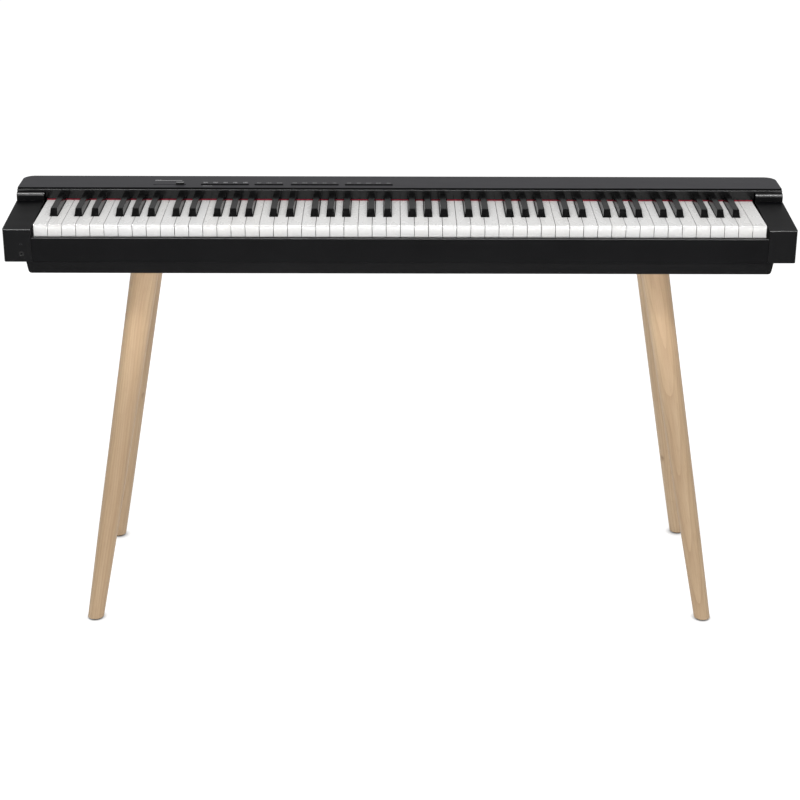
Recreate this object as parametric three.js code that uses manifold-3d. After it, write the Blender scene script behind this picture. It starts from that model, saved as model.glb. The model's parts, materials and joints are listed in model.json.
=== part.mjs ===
// Digital piano on a four-legged wooden stand. Millimetres, +X to the player's right, +Y away from the
// player, +Z up. The origin is on the floor, under the centre of the case.

import * as THREE from 'three';
import { mergeVertices } from 'three/addons/utils/BufferGeometryUtils.js';
import Module from 'manifold-3d';

const wasm = await Module();
wasm.setup();

// ---------------------------------------------------------------------------------------------
// Driving dimensions
// ---------------------------------------------------------------------------------------------

const CLEARANCE = 0.3;               // air kept between two pieces that rest on each other
const WALL = 3;                      // thickness of the moulded case walls

const CASE_WIDTH = 1322;
const CASE_DEPTH = 232;
const CASE_BOTTOM = 619;
const SEAM_HEIGHT = 638.4;           // joint between the lower pan and everything above it
const PANEL_TOP = 722.5;

const PAN_HALF_TOP = 624;            // the pan's sides lean in a little towards its bottom
const PAN_HALF_BOTTOM = 620.6;
const PAN_LEAN = 0.9;                // how far the side is outside its bottom where the corner starts
const PAN_CORNER = 5;

const KEY_PITCH = 23.5;              // one white key and its gap
const KEY_GAP = 0.9;                 // gap between two white keys, and beside a black key
const KEY_TOP = 700;                 // playing surface of the white keys
const KEY_FRONT = -105;
const WHITE_COUNT = 52;
const KEY_COUNT = 88;
const KEYS_HALF_WIDTH = WHITE_COUNT * KEY_PITCH / 2;

const WHITE_HEAD_LENGTH = 48;        // wide part of a white key, in front of the black keys
const WHITE_APRON = 22;              // height of a white key's front face
const WHITE_APRON_DEPTH = 5;
const WHITE_BODY = 12;               // thickness of the key behind its front face
const WHITE_OVER_BLACK_WEB = 8;      // thickness where a white key crosses the black keys' web

const BLACK_FRONT = -56.5;
const BLACK_TOP = 712;
const BLACK_BASE_WIDTH = 13;
const BLACK_TOP_WIDTH = 10.4;
const BLACK_NOSE_LENGTH = 8;         // run of the sloped front face
const BLACK_STEM_WIDTH = 9.5;

const FALLBOARD_FRONT = 40;          // where the visible keys end
const FALLBOARD_BOTTOM = 703.1;

const PIVOT_HEIGHT = 682;            // the keys rock on rounded ribs of the chassis
const WHITE_PIVOT_Y = 100.5;
const BLACK_PIVOT_Y = 87;
const RIB_RADIUS = 1.5;
const WEB_DEPTH = 10;
const WEB_GAP = 2;                   // between the black keys' web and the white keys that cross it

const CHEEK_INNER = 614;             // inner face of an end block
const CHEEK_FRONT_TOP = 694.5;
const CHEEK_REAR_TOP = 703;
const SHOULDER_FRONT = 28;
const SHOULDER_TOP = 716;
const PANEL_FRONT = 42;
const LEDGE_TOP = 720.5;
const LEDGE_FRONT = 36.5;
const SLIP_TOP = 680;

const PANEL_CORNER_RADIUS = 20;      // rear corners, seen from above
const FRONT_CORNER_RADIUS = 5;       // front corners, seen from above

const LEG_TOP_X = 433;
const LEG_TOP_Y = 45;
const FRONT_FOOT_X = 535.5;
const REAR_FOOT_X = 539;              // the rear legs splay a little wider
const LEG_FOOT_Y = 175;
const REAR_LEFT_FOOT_Y = 158;         // the one leg that leans back less than the others
const LEG_TOP_RADIUS = 24;
const LEG_KNEE_RADIUS = 16.5;        // below the knee the leg tapers faster
const LEG_KNEE_LENGTH = 140;         // from the foot to the knee
const LEG_FOOT_RADIUS = 13.8;
const GLIDE_RADIUS = 10.5;
const GLIDE_HEIGHT = 3;
const BRACKET_PLATE = 4;
const BRACKET_WIDTH = 80;
const BRACKET_CORNER = 10;
const BRACKET_HEIGHT = 14;           // how far the bracket reaches down the leg's axis
const BOSS_RADIUS = LEG_TOP_RADIUS - 1;
const LEG_TRIM = 20;                 // spare length at the foot, cut off level with the floor

const CASE_LEFT = -CASE_WIDTH / 2;
const CASE_RIGHT = CASE_WIDTH / 2;
const CASE_FRONT = -CASE_DEPTH / 2;
const CASE_REAR = CASE_DEPTH / 2;

// ---------------------------------------------------------------------------------------------
// Materials
// ---------------------------------------------------------------------------------------------

function material(color, roughness, metalness = 0) {
  return new THREE.MeshStandardMaterial({ color, roughness, metalness, flatShading: true });
}

const looks = {
  panel: material(0x2b2b2e, 0.42),
  case: material(0x1c1c1e, 0.48),
  whiteKey: material(0xe9e8e4, 0.25),
  blackKey: material(0x18181a, 0.35),
  felt: material(0x9c1f2c, 0.95),
  chassis: material(0x8d9094, 0.5, 0.8),
  board: material(0x1f5b39, 0.55),
  button: material(0x121214, 0.5),
  slider: material(0x2a2a2c, 0.4),
  speaker: material(0x101010, 0.7),
  socket: material(0x141416, 0.35),
  bracket: material(0x2a2b2d, 0.4, 0.7),
  wood: material(0xcaa981, 0.55),
  rubber: material(0x3a3a3c, 0.85),
};

// ---------------------------------------------------------------------------------------------
// Solid helpers
// ---------------------------------------------------------------------------------------------

function toSolid(geometry) {
  const bare = geometry.clone();
  bare.deleteAttribute('normal');
  bare.deleteAttribute('uv');
  const merged = mergeVertices(bare, 1e-4);
  const vertProperties = new Float32Array(merged.attributes.position.array);
  const triVerts = new Uint32Array(merged.index.array);
  return new wasm.Manifold(new wasm.Mesh({ numProp: 3, vertProperties, triVerts }));
}

function toGeometry(solid) {
  const mesh = solid.getMesh();
  const geometry = new THREE.BufferGeometry();
  geometry.setAttribute('position', new THREE.BufferAttribute(new Float32Array(mesh.vertProperties), 3));
  geometry.setIndex(new THREE.BufferAttribute(new Uint32Array(mesh.triVerts), 1));
  geometry.computeVertexNormals();
  return geometry;
}

function join(...geometries) {
  const solids = geometries.map(toSolid);
  return toGeometry(solids.reduce((whole, piece) => whole.add(piece)));
}

function cut(base, ...tools) {
  return toGeometry(tools.map(toSolid).reduce((rest, tool) => rest.subtract(tool), toSolid(base)));
}

function common(first, second) {
  return toGeometry(toSolid(first).intersect(toSolid(second)));
}

// A box between two values on each axis.
function box(x0, x1, y0, y1, z0, z1) {
  const geometry = new THREE.BoxGeometry(x1 - x0, y1 - y0, z1 - z0);
  return geometry.translate((x0 + x1) / 2, (y0 + y1) / 2, (z0 + z1) / 2);
}

function extrude(shape, depth, curveSegments) {
  return new THREE.ExtrudeGeometry(shape, { depth, bevelEnabled: false, curveSegments });
}

// A side outline, drawn in (y, z), swept along X.
function sideProfile(shape, x0, x1, curveSegments = 4) {
  const turn = new THREE.Matrix4().makeBasis(
    new THREE.Vector3(0, 1, 0),
    new THREE.Vector3(0, 0, 1),
    new THREE.Vector3(1, 0, 0),
  );
  return extrude(shape, x1 - x0, curveSegments).applyMatrix4(turn).translate(x0, 0, 0);
}

// A front outline, drawn in (x, z), swept along Y.
function frontProfile(shape, y0, y1, curveSegments = 4) {
  const turn = new THREE.Matrix4().makeBasis(
    new THREE.Vector3(1, 0, 0),
    new THREE.Vector3(0, 0, 1),
    new THREE.Vector3(0, -1, 0),
  );
  return extrude(shape, y1 - y0, curveSegments).applyMatrix4(turn).translate(0, y1, 0);
}

// A plan outline, drawn in (x, y), raised along Z.
function planProfile(shape, z0, z1, curveSegments = 4) {
  return extrude(shape, z1 - z0, curveSegments).translate(0, 0, z0);
}

function polygon(points) {
  return new THREE.Shape(points.map(([a, b]) => new THREE.Vector2(a, b)));
}

// A rectangle whose four corners have their own radii, from the low-low corner anticlockwise.
function roundedRectangle(a0, b0, a1, b1, radii) {
  const [r0, r1, r2, r3] = radii;
  const shape = new THREE.Shape();
  shape.moveTo(a0 + r0, b0);
  shape.lineTo(a1 - r1, b0);
  if (r1) shape.absarc(a1 - r1, b0 + r1, r1, -Math.PI / 2, 0);
  shape.lineTo(a1, b1 - r2);
  if (r2) shape.absarc(a1 - r2, b1 - r2, r2, 0, Math.PI / 2);
  shape.lineTo(a0 + r3, b1);
  if (r3) shape.absarc(a0 + r3, b1 - r3, r3, Math.PI / 2, Math.PI);
  shape.lineTo(a0, b0 + r0);
  if (r0) shape.absarc(a0 + r0, b0 + r0, r0, Math.PI, 3 * Math.PI / 2);
  return shape;
}

// A round bar along X, Y or Z between two values on that axis.
function bar(axis, radius, from, to, centre, segments = 24) {
  const geometry = new THREE.CylinderGeometry(radius, radius, to - from, segments);
  const middle = (from + to) / 2;
  if (axis === 'x') return geometry.rotateZ(Math.PI / 2).translate(middle, centre[0], centre[1]);
  if (axis === 'y') return geometry.translate(centre[0], middle, centre[1]);
  return geometry.rotateX(Math.PI / 2).translate(centre[0], centre[1], middle);
}

const piano = new THREE.Group();

function addPart(name, geometry, look) {
  const mesh = new THREE.Mesh(geometry, look);
  mesh.name = name;
  piano.add(mesh);
}

// ---------------------------------------------------------------------------------------------
// Case
// ---------------------------------------------------------------------------------------------

// Cross-section of the pan: sides that lean in towards a flat bottom with rounded corners.
function panSection(inset, top) {
  const halfTop = PAN_HALF_TOP - inset;
  const halfBottom = PAN_HALF_BOTTOM - inset;
  const bottom = CASE_BOTTOM + inset;
  const shape = new THREE.Shape();
  shape.moveTo(-halfTop, top);
  shape.lineTo(-halfBottom - PAN_LEAN, bottom + PAN_CORNER);
  shape.quadraticCurveTo(-halfBottom, bottom, -halfBottom + PAN_CORNER, bottom);
  shape.lineTo(halfBottom - PAN_CORNER, bottom);
  shape.quadraticCurveTo(halfBottom, bottom, halfBottom + PAN_LEAN, bottom + PAN_CORNER);
  shape.lineTo(halfTop, top);
  return shape;
}

const SPEAKER_X = 300;
const SPEAKER_Y = -20;
const SPEAKER_LENGTH = 130;
const SPEAKER_WIDTH = 56;
const SPEAKER_CORNER = 20;
const MAGNET_RADIUS = 20;
const GRILLE_SLOTS = 8;
const GRILLE_PITCH = 13;
const GRILLE_SLOT_WIDTH = 4.6;
const GRILLE_SLOT_LENGTH = 46;

// The slots that the loudspeaker on one side fires through.
function grilleSlots(side) {
  return Array.from({ length: GRILLE_SLOTS }, (_, index) => {
    const x = side * SPEAKER_X + (index - (GRILLE_SLOTS - 1) / 2) * GRILLE_PITCH;
    const halfWidth = GRILLE_SLOT_WIDTH / 2;
    const halfLength = GRILLE_SLOT_LENGTH / 2;
    return box(x - halfWidth, x + halfWidth, SPEAKER_Y - halfLength, SPEAKER_Y + halfLength,
      CASE_BOTTOM - 1, CASE_BOTTOM + WALL + 1);
  });
}

function lowerCase() {
  const top = SEAM_HEIGHT - CLEARANCE / 2;
  const outer = frontProfile(panSection(0, top), CASE_FRONT, CASE_REAR);
  const hollow = frontProfile(panSection(WALL, top + WALL), CASE_FRONT + WALL, CASE_REAR - WALL);
  return cut(outer, hollow, ...grilleSlots(-1), ...grilleSlots(1));
}

// The rail in front of the keys: a wall with a lip turned back under their front faces.
function keySlip() {
  const gapToKeys = 1.6;
  const lipBack = KEY_FRONT - gapToKeys;
  const edge = 1.2;
  const shape = new THREE.Shape();
  shape.moveTo(CASE_FRONT, SEAM_HEIGHT + CLEARANCE / 2);
  shape.lineTo(CASE_FRONT + WALL, SEAM_HEIGHT + CLEARANCE / 2);
  shape.lineTo(CASE_FRONT + WALL, SLIP_TOP - WALL);
  shape.lineTo(lipBack, SLIP_TOP - WALL);
  shape.lineTo(lipBack, SLIP_TOP);
  shape.lineTo(CASE_FRONT + edge, SLIP_TOP);
  shape.absarc(CASE_FRONT + edge, SLIP_TOP - edge, edge, Math.PI / 2, Math.PI);
  const half = CHEEK_INNER - CLEARANCE;
  return sideProfile(shape, -half, half);
}

// Side view of an end block: a cheek that rises gently to a rounded shoulder under the panel.
function cheekSection(inset) {
  const front = CASE_FRONT + inset;
  const bottom = SEAM_HEIGHT + CLEARANCE / 2 + inset;
  const rear = CASE_REAR - inset;
  const edge = 2;
  const shoulderRadius = 5;
  const filletRadius = 3;
  const shoulderTop = SHOULDER_TOP - inset;
  const shoulderFront = SHOULDER_FRONT + inset;
  const panelSeat = PANEL_TOP - WALL - CLEARANCE - inset;
  const shape = new THREE.Shape();
  shape.moveTo(front, bottom);
  shape.lineTo(rear, bottom);
  shape.lineTo(rear, panelSeat);
  shape.lineTo(PANEL_FRONT + inset, panelSeat);
  shape.lineTo(PANEL_FRONT + inset, shoulderTop);
  shape.lineTo(shoulderFront + shoulderRadius, shoulderTop);
  shape.absarc(shoulderFront + shoulderRadius, shoulderTop - shoulderRadius, shoulderRadius,
    Math.PI / 2, Math.PI);
  shape.lineTo(shoulderFront, CHEEK_REAR_TOP - inset + filletRadius);
  shape.quadraticCurveTo(shoulderFront, CHEEK_REAR_TOP - inset,
    shoulderFront - filletRadius, CHEEK_REAR_TOP - inset);
  shape.lineTo(front + edge, CHEEK_FRONT_TOP - inset);
  shape.quadraticCurveTo(front, CHEEK_FRONT_TOP - inset, front, CHEEK_FRONT_TOP - inset - edge);
  return shape;
}

const HEADPHONE_X = -631;
const HEADPHONE_Z = 652.5;
const HEADPHONE_RADIUS = 3.4;        // barrel of a 3.5 mm socket
const HEADPHONE_COLLAR = 4;          // the ring that shows outside the case
const HEADPHONE_BORE = 1.85;
const SOCKET_RADIUS = 5.2;           // barrel of a 6.35 mm socket
const SOCKET_COLLAR = 6;
const COLLAR_RISE = 1;
const SOCKET_BORE = 3.3;
const SOCKET_LENGTH = 24;

// side is -1 for the left block and +1 for the right one.
function endBlock(side) {
  const low = side < 0 ? CASE_LEFT : CHEEK_INNER;
  const high = side < 0 ? -CHEEK_INNER : CASE_RIGHT;
  const radii = side < 0
    ? [FRONT_CORNER_RADIUS, 0, 0, PANEL_CORNER_RADIUS]
    : [0, FRONT_CORNER_RADIUS, PANEL_CORNER_RADIUS, 0];
  const plan = roundedRectangle(low, CASE_FRONT, high, CASE_REAR, radii);
  const block = common(
    sideProfile(cheekSection(0), low, high),
    planProfile(plan, CASE_BOTTOM, PANEL_TOP, 6),
  );
  const hollowLow = side < 0 ? low + 2 * WALL : low - 1;
  const hollowHigh = side < 0 ? high + 1 : high - 2 * WALL;
  return cut(block, sideProfile(cheekSection(WALL), hollowLow, hollowHigh));
}

function leftEndBlock() {
  const socketHole = bar('y', HEADPHONE_RADIUS + CLEARANCE, CASE_FRONT - 1, CASE_FRONT + WALL + 1,
    [HEADPHONE_X, HEADPHONE_Z]);
  return cut(endBlock(-1), socketHole);
}

const FALLBOARD_THICKNESS = 1.3;     // how far its face stands in front of where the keys end

// The ledge under the panel's front edge, with the face that drops to the keys between the cheeks.
function fallboard() {
  const ledgeBottom = SHOULDER_TOP + CLEARANCE;
  const back = PANEL_FRONT - CLEARANCE;
  const edge = 1.4;
  const ledge = new THREE.Shape();
  ledge.moveTo(LEDGE_FRONT, ledgeBottom);
  ledge.lineTo(back, ledgeBottom);
  ledge.lineTo(back, LEDGE_TOP);
  ledge.lineTo(LEDGE_FRONT + edge, LEDGE_TOP);
  ledge.absarc(LEDGE_FRONT + edge, LEDGE_TOP - edge, edge, Math.PI / 2, Math.PI);
  const half = CHEEK_INNER - CLEARANCE;
  const faceFront = FALLBOARD_FRONT - FALLBOARD_THICKNESS;
  const face = box(-half, half, faceFront, back, FALLBOARD_BOTTOM, ledgeBottom + 1);
  return join(sideProfile(ledge, CASE_LEFT, CASE_RIGHT), face);
}

const FELT_THICKNESS = 1.8;
const FELT_ABOVE_KEYS = 0.5;

// The strip that hangs from the fallboard and hides the gap over the keys.
function redFelt() {
  const front = FALLBOARD_FRONT - CLEARANCE;
  return box(-KEYS_HALF_WIDTH, KEYS_HALF_WIDTH, front, front + FELT_THICKNESS,
    KEY_TOP + FELT_ABOVE_KEYS, FALLBOARD_BOTTOM - CLEARANCE);
}

const SLIDER_TRACK = { left: -429, right: -372, y: 61, width: 3.2 };
const BUTTON_Y = 60.5;
const BUTTON_DEPTH = 6.4;
const BUTTON_PITCH = 16.7;
const BUTTON_ROWS = [
  { left: -346, count: 5 },
  { left: -253, count: 3 },
  { left: -190, count: 5 },
  { left: -96, count: 5 },
];

function buttonRowWidth(row) {
  return row.count * BUTTON_PITCH;
}

function topPanel() {
  const radii = [0, 0, PANEL_CORNER_RADIUS, PANEL_CORNER_RADIUS];
  const plan = roundedRectangle(CASE_LEFT, PANEL_FRONT, CASE_RIGHT, CASE_REAR, radii);
  const sliderSlot = box(SLIDER_TRACK.left, SLIDER_TRACK.right, SLIDER_TRACK.y - SLIDER_TRACK.width / 2,
    SLIDER_TRACK.y + SLIDER_TRACK.width / 2, PANEL_TOP - 2 * WALL, PANEL_TOP + 1);
  const buttonSlots = BUTTON_ROWS.map((row) => box(
    row.left, row.left + buttonRowWidth(row),
    BUTTON_Y - BUTTON_DEPTH / 2, BUTTON_Y + BUTTON_DEPTH / 2,
    PANEL_TOP - 2 * WALL, PANEL_TOP + 1,
  ));
  return cut(planProfile(plan, PANEL_TOP - WALL, PANEL_TOP, 8), sliderSlot, ...buttonSlots);
}

// Sockets in the back panel, by their centre along X.
const POWER_X = 560;
const USB_X = 500;
const PEDAL_X = 440;
const REAR_SOCKET_Z = 648;
const POWER_RADIUS = 5.5;
const POWER_BORE = 3.1;
const POWER_COLLAR = 6.3;
const USB_WIDTH = 12;
const USB_HEIGHT = 11;
const USB_DEPTH = 16;
const USB_SHELL = 1.4;
const USB_TONGUE_WIDTH = 5.6;
const USB_TONGUE_HEIGHT = 3.2;
const USB_TONGUE_RECESS = 4;

function backPanel() {
  const half = CHEEK_INNER - CLEARANCE;
  const plate = box(-half, half, CASE_REAR - WALL, CASE_REAR,
    SEAM_HEIGHT + CLEARANCE / 2, PANEL_TOP - WALL - CLEARANCE);
  const through = [CASE_REAR - 2 * WALL, CASE_REAR + 1];
  return cut(
    plate,
    bar('y', POWER_RADIUS + CLEARANCE, ...through, [POWER_X, REAR_SOCKET_Z]),
    bar('y', SOCKET_RADIUS + CLEARANCE, ...through, [PEDAL_X, REAR_SOCKET_Z]),
    box(USB_X - USB_WIDTH / 2 - CLEARANCE, USB_X + USB_WIDTH / 2 + CLEARANCE, ...through,
      REAR_SOCKET_Z - USB_HEIGHT / 2 - CLEARANCE, REAR_SOCKET_Z + USB_HEIGHT / 2 + CLEARANCE),
  );
}

addPart('lower_case', lowerCase(), looks.case);
addPart('key_slip', keySlip(), looks.case);
addPart('end_block_left', leftEndBlock(), looks.case);
addPart('end_block_right', endBlock(1), looks.case);
addPart('fallboard', fallboard(), looks.case);
addPart('red_felt', redFelt(), looks.felt);
addPart('top_panel', topPanel(), looks.panel);
addPart('back_panel', backPanel(), looks.case);

// ---------------------------------------------------------------------------------------------
// Keys
// ---------------------------------------------------------------------------------------------

// The keyboard starts on the note A, so a key's place in its octave counts from A.
const BLACK_IN_OCTAVE = [1, 4, 6, 9, 11];
const OFFSET_FROM_GAP = { 1: 3.2, 4: -2.2, 6: 2.2, 9: -3.2, 11: 0 };

const isBlack = (key) => BLACK_IN_OCTAVE.includes(key % 12);

// How many white keys lie to the left of a key.
function whitesBefore(key) {
  return Array.from({ length: key }, (_, lower) => lower).filter((lower) => !isBlack(lower)).length;
}

const whiteLeft = (key) => -KEYS_HALF_WIDTH + whitesBefore(key) * KEY_PITCH;
const blackCentre = (key) => whiteLeft(key) + OFFSET_FROM_GAP[key % 12];

// A white key from above: a wide head, and a tail cut back beside each black neighbour.
function whiteKeyPlan(key) {
  const left = whiteLeft(key) + KEY_GAP / 2;
  const right = whiteLeft(key) + KEY_PITCH - KEY_GAP / 2;
  const besideBlack = BLACK_BASE_WIDTH / 2 + KEY_GAP;
  const blackLeft = key > 0 && isBlack(key - 1);
  const blackRight = key < KEY_COUNT - 1 && isBlack(key + 1);
  const tailLeft = blackLeft ? blackCentre(key - 1) + besideBlack : left;
  const tailRight = blackRight ? blackCentre(key + 1) - besideBlack : right;
  const headBack = KEY_FRONT + WHITE_HEAD_LENGTH - KEY_GAP;
  const tailBack = WHITE_PIVOT_Y + WEB_DEPTH / 2;
  const outline = [[left, KEY_FRONT], [right, KEY_FRONT], [right, headBack]];
  if (blackRight) outline.push([tailRight, headBack]);
  outline.push([tailRight, tailBack], [tailLeft, tailBack]);
  if (blackLeft) outline.push([tailLeft, headBack]);
  outline.push([left, headBack]);
  return polygon(outline);
}

// One white key, or several joined at the back by the web that rocks on the chassis.
function whiteKeys(keys) {
  const first = whiteLeft(keys[0]) + KEY_GAP / 2;
  const last = whiteLeft(keys[keys.length - 1]) + KEY_PITCH - KEY_GAP / 2;
  const bottom = KEY_TOP - WHITE_APRON;
  const tailBack = WHITE_PIVOT_Y + WEB_DEPTH / 2;
  const blocks = keys.map((key) => planProfile(whiteKeyPlan(key), bottom, KEY_TOP));
  const web = keys.length > 1
    ? [box(first, last, tailBack - WEB_DEPTH, tailBack, PIVOT_HEIGHT, KEY_TOP)]
    : [];
  const webFront = BLACK_PIVOT_Y - WEB_DEPTH / 2 - WEB_GAP;
  const webBack = tailBack - WEB_DEPTH;
  const underside = polygon([
    [KEY_FRONT + WHITE_APRON_DEPTH, bottom - 1],
    [KEY_FRONT + WHITE_APRON_DEPTH, KEY_TOP - WHITE_BODY],
    [webFront, KEY_TOP - WHITE_BODY],
    [webFront, KEY_TOP - WHITE_OVER_BLACK_WEB],
    [webBack, KEY_TOP - WHITE_OVER_BLACK_WEB],
    [webBack, PIVOT_HEIGHT],
    [tailBack + 1, PIVOT_HEIGHT],
    [tailBack + 1, bottom - 1],
  ]);
  return cut(
    join(...blocks, ...web),
    sideProfile(underside, first - 1, last + 1),
    bar('x', RIB_RADIUS + CLEARANCE, first - 1, last + 1, [WHITE_PIVOT_Y, PIVOT_HEIGHT], 12),
  );
}

const BLACK_CAP_GAP = 0.5;           // between the cap and the fallboard
const BLACK_NOSE_RISE = 0.5;         // where the sloped front face starts, above the white keys

function blackKey(key) {
  const centre = blackCentre(key);
  const capBottom = KEY_TOP - WHITE_BODY;
  const capBack = FALLBOARD_FRONT - FALLBOARD_THICKNESS - BLACK_CAP_GAP;
  const side = polygon([
    [BLACK_FRONT, capBottom],
    [capBack, capBottom],
    [capBack, BLACK_TOP],
    [BLACK_FRONT + BLACK_NOSE_LENGTH, BLACK_TOP],
    [BLACK_FRONT, KEY_TOP + BLACK_NOSE_RISE],
  ]);
  const front = polygon([
    [centre - BLACK_BASE_WIDTH / 2, capBottom],
    [centre + BLACK_BASE_WIDTH / 2, capBottom],
    [centre + BLACK_BASE_WIDTH / 2, KEY_TOP],
    [centre + BLACK_TOP_WIDTH / 2, BLACK_TOP],
    [centre - BLACK_TOP_WIDTH / 2, BLACK_TOP],
    [centre - BLACK_BASE_WIDTH / 2, KEY_TOP],
  ]);
  const half = BLACK_BASE_WIDTH / 2;
  const cap = common(
    sideProfile(side, centre - half - 1, centre + half + 1),
    frontProfile(front, BLACK_FRONT - 1, capBack + 1),
  );
  const stem = box(centre - BLACK_STEM_WIDTH / 2, centre + BLACK_STEM_WIDTH / 2, capBack - 1,
    BLACK_PIVOT_Y + WEB_DEPTH / 2, capBottom, KEY_TOP);
  return join(cap, stem);
}

function blackKeys(keys) {
  const first = blackCentre(keys[0]) - BLACK_STEM_WIDTH / 2;
  const last = blackCentre(keys[keys.length - 1]) + BLACK_STEM_WIDTH / 2;
  const webTop = KEY_TOP - WHITE_OVER_BLACK_WEB - WEB_GAP;
  const web = box(first, last, BLACK_PIVOT_Y - WEB_DEPTH / 2, BLACK_PIVOT_Y + WEB_DEPTH / 2,
    PIVOT_HEIGHT, webTop);
  return cut(
    join(...keys.map(blackKey), web),
    bar('x', RIB_RADIUS + CLEARANCE, first - 1, last + 1, [BLACK_PIVOT_Y, PIVOT_HEIGHT], 12),
  );
}

// The outer registers move an octave at a time. The octave from middle C has a node for each key.
const REGISTERS = [
  { name: 'a0_b1', first: 0, last: 14 },
  { name: 'c2_b2', first: 15, last: 26 },
  { name: 'c3_b3', first: 27, last: 38 },
  { name: 'c5_b5', first: 51, last: 62 },
  { name: 'c6_b6', first: 63, last: 74 },
  { name: 'c7_c8', first: 75, last: 87 },
];
const MIDDLE_C = 39;
const MIDDLE_NAMES = ['c4', 'c_sharp_4', 'd4', 'd_sharp_4', 'e4', 'f4',
  'f_sharp_4', 'g4', 'g_sharp_4', 'a4', 'a_sharp_4', 'b4'];

for (const register of REGISTERS) {
  const keys = Array.from({ length: register.last - register.first + 1 }, (_, i) => register.first + i);
  const whites = keys.filter((key) => !isBlack(key));
  addPart(`white_keys_${register.name}`, whiteKeys(whites), looks.whiteKey);
  addPart(`black_keys_${register.name}`, blackKeys(keys.filter(isBlack)), looks.blackKey);
}

MIDDLE_NAMES.forEach((name, index) => {
  const key = MIDDLE_C + index;
  if (isBlack(key)) addPart(`black_key_${name}`, blackKeys([key]), looks.blackKey);
  else addPart(`white_key_${name}`, whiteKeys([key]), looks.whiteKey);
});

// ---------------------------------------------------------------------------------------------
// Key action
// ---------------------------------------------------------------------------------------------

const CHASSIS_TOP = 664;
const CHASSIS_PLATE = 4;
const CHASSIS_FRONT = -104;
const CHASSIS_BACK = 108;
const CHASSIS_REAR_FOOT = 84;         // leaves room behind it for the sockets
const CHASSIS_HALF_WIDTH = 604;
const STOP_FELT_DEPTH = 12;
const STOP_FELT_TOP = 667.5;
const SENSOR_BOARD = { halfLength: 600, front: 8, back: 56 };
const BOARD_THICKNESS = 1.6;

// A rib that stands on the chassis with a round top for the keys to rock on.
function pivotRib(y) {
  const shape = new THREE.Shape();
  shape.moveTo(y - RIB_RADIUS, CHASSIS_TOP - 1);
  shape.lineTo(y + RIB_RADIUS, CHASSIS_TOP - 1);
  shape.lineTo(y + RIB_RADIUS, PIVOT_HEIGHT);
  shape.absarc(y, PIVOT_HEIGHT, RIB_RADIUS, 0, Math.PI);
  return sideProfile(shape, -CHASSIS_HALF_WIDTH, CHASSIS_HALF_WIDTH, 6);
}

function keyChassis() {
  const floor = CASE_BOTTOM + WALL + CLEARANCE;
  const half = CHASSIS_HALF_WIDTH;
  const plateBottom = CHASSIS_TOP - CHASSIS_PLATE;
  return join(
    box(-half, half, CHASSIS_FRONT, CHASSIS_BACK, plateBottom, CHASSIS_TOP),
    box(-half, half, CHASSIS_FRONT, CHASSIS_FRONT + WALL, floor, plateBottom + 1),
    box(-half, half, CHASSIS_REAR_FOOT - WALL, CHASSIS_REAR_FOOT, floor, plateBottom + 1),
    pivotRib(WHITE_PIVOT_Y),
    pivotRib(BLACK_PIVOT_Y),
  );
}

function keyStopFelt() {
  const half = KEYS_HALF_WIDTH - 2;
  return box(-half, half, CHASSIS_FRONT + 1, CHASSIS_FRONT + 1 + STOP_FELT_DEPTH,
    CHASSIS_TOP + CLEARANCE, STOP_FELT_TOP);
}

function sensorBoard() {
  const bottom = CHASSIS_TOP + CLEARANCE;
  return box(-SENSOR_BOARD.halfLength, SENSOR_BOARD.halfLength, SENSOR_BOARD.front, SENSOR_BOARD.back,
    bottom, bottom + BOARD_THICKNESS);
}

addPart('key_chassis', keyChassis(), looks.chassis);
addPart('key_stop_felt', keyStopFelt(), looks.felt);
addPart('sensor_board', sensorBoard(), looks.board);

// ---------------------------------------------------------------------------------------------
// Controls and electronics
// ---------------------------------------------------------------------------------------------

const MAIN_BOARD = { left: -470, right: 10, front: 52, back: 108, bottom: 704 };
const MAIN_BOARD_TOP = MAIN_BOARD.bottom + BOARD_THICKNESS;
const BUTTON_TRAVEL = 1;
const BUTTON_RISE = 0.9;             // how far the caps stand above the panel
const BUTTON_FOOT = 2;               // the flange that keeps a row in the panel
const SLIDER_CAP_LENGTH = 14;
const SLIDER_CAP_DEPTH = 8;
const SLIDER_CAP_RISE = 4;
const SLIDER_CAP_TAPER = 1.6;
const SLIDER_STEM = 2.4;
const SLIDER_STEM_LENGTH = 12;
const SLIDER_REST_X = -382;          // centre of the cap, near the right end of its track
const HOUSING_HEIGHT = 8;
const HOUSING_HALF_WIDTH = 4;
const HOUSING_END = 6;               // beyond the slider's slot at each end
const HOUSING_FLOOR = 2;
const SPEAKER_FRAME = 4;             // heights above the bottom of the loudspeaker
const SPEAKER_BASKET = 16;
const SPEAKER_MAGNET = 28;
const BASKET_INSET = 5;
const CONE_MOUTH_RADIUS = 22;
const CONE_THROAT_RADIUS = 12;
const CONE_DEPTH = 9;

function mainBoard() {
  return box(MAIN_BOARD.left, MAIN_BOARD.right, MAIN_BOARD.front, MAIN_BOARD.back,
    MAIN_BOARD.bottom, MAIN_BOARD_TOP);
}

// A row of push buttons: a narrow cap in the panel, on a wider foot that keeps it from falling out.
function buttonStrip(row) {
  const left = row.left + CLEARANCE;
  const right = row.left + buttonRowWidth(row) - CLEARANCE;
  const half = BUTTON_DEPTH / 2 - CLEARANCE;
  const bottom = MAIN_BOARD_TOP + BUTTON_TRAVEL + CLEARANCE;
  const footTop = PANEL_TOP - WALL - CLEARANCE;
  const footHalf = half + BUTTON_FOOT;
  return join(
    box(left, right, BUTTON_Y - half, BUTTON_Y + half, bottom, PANEL_TOP + BUTTON_RISE),
    box(left - BUTTON_FOOT, right + BUTTON_FOOT, BUTTON_Y - footHalf, BUTTON_Y + footHalf,
      footTop - BUTTON_FOOT, footTop),
  );
}

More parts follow.
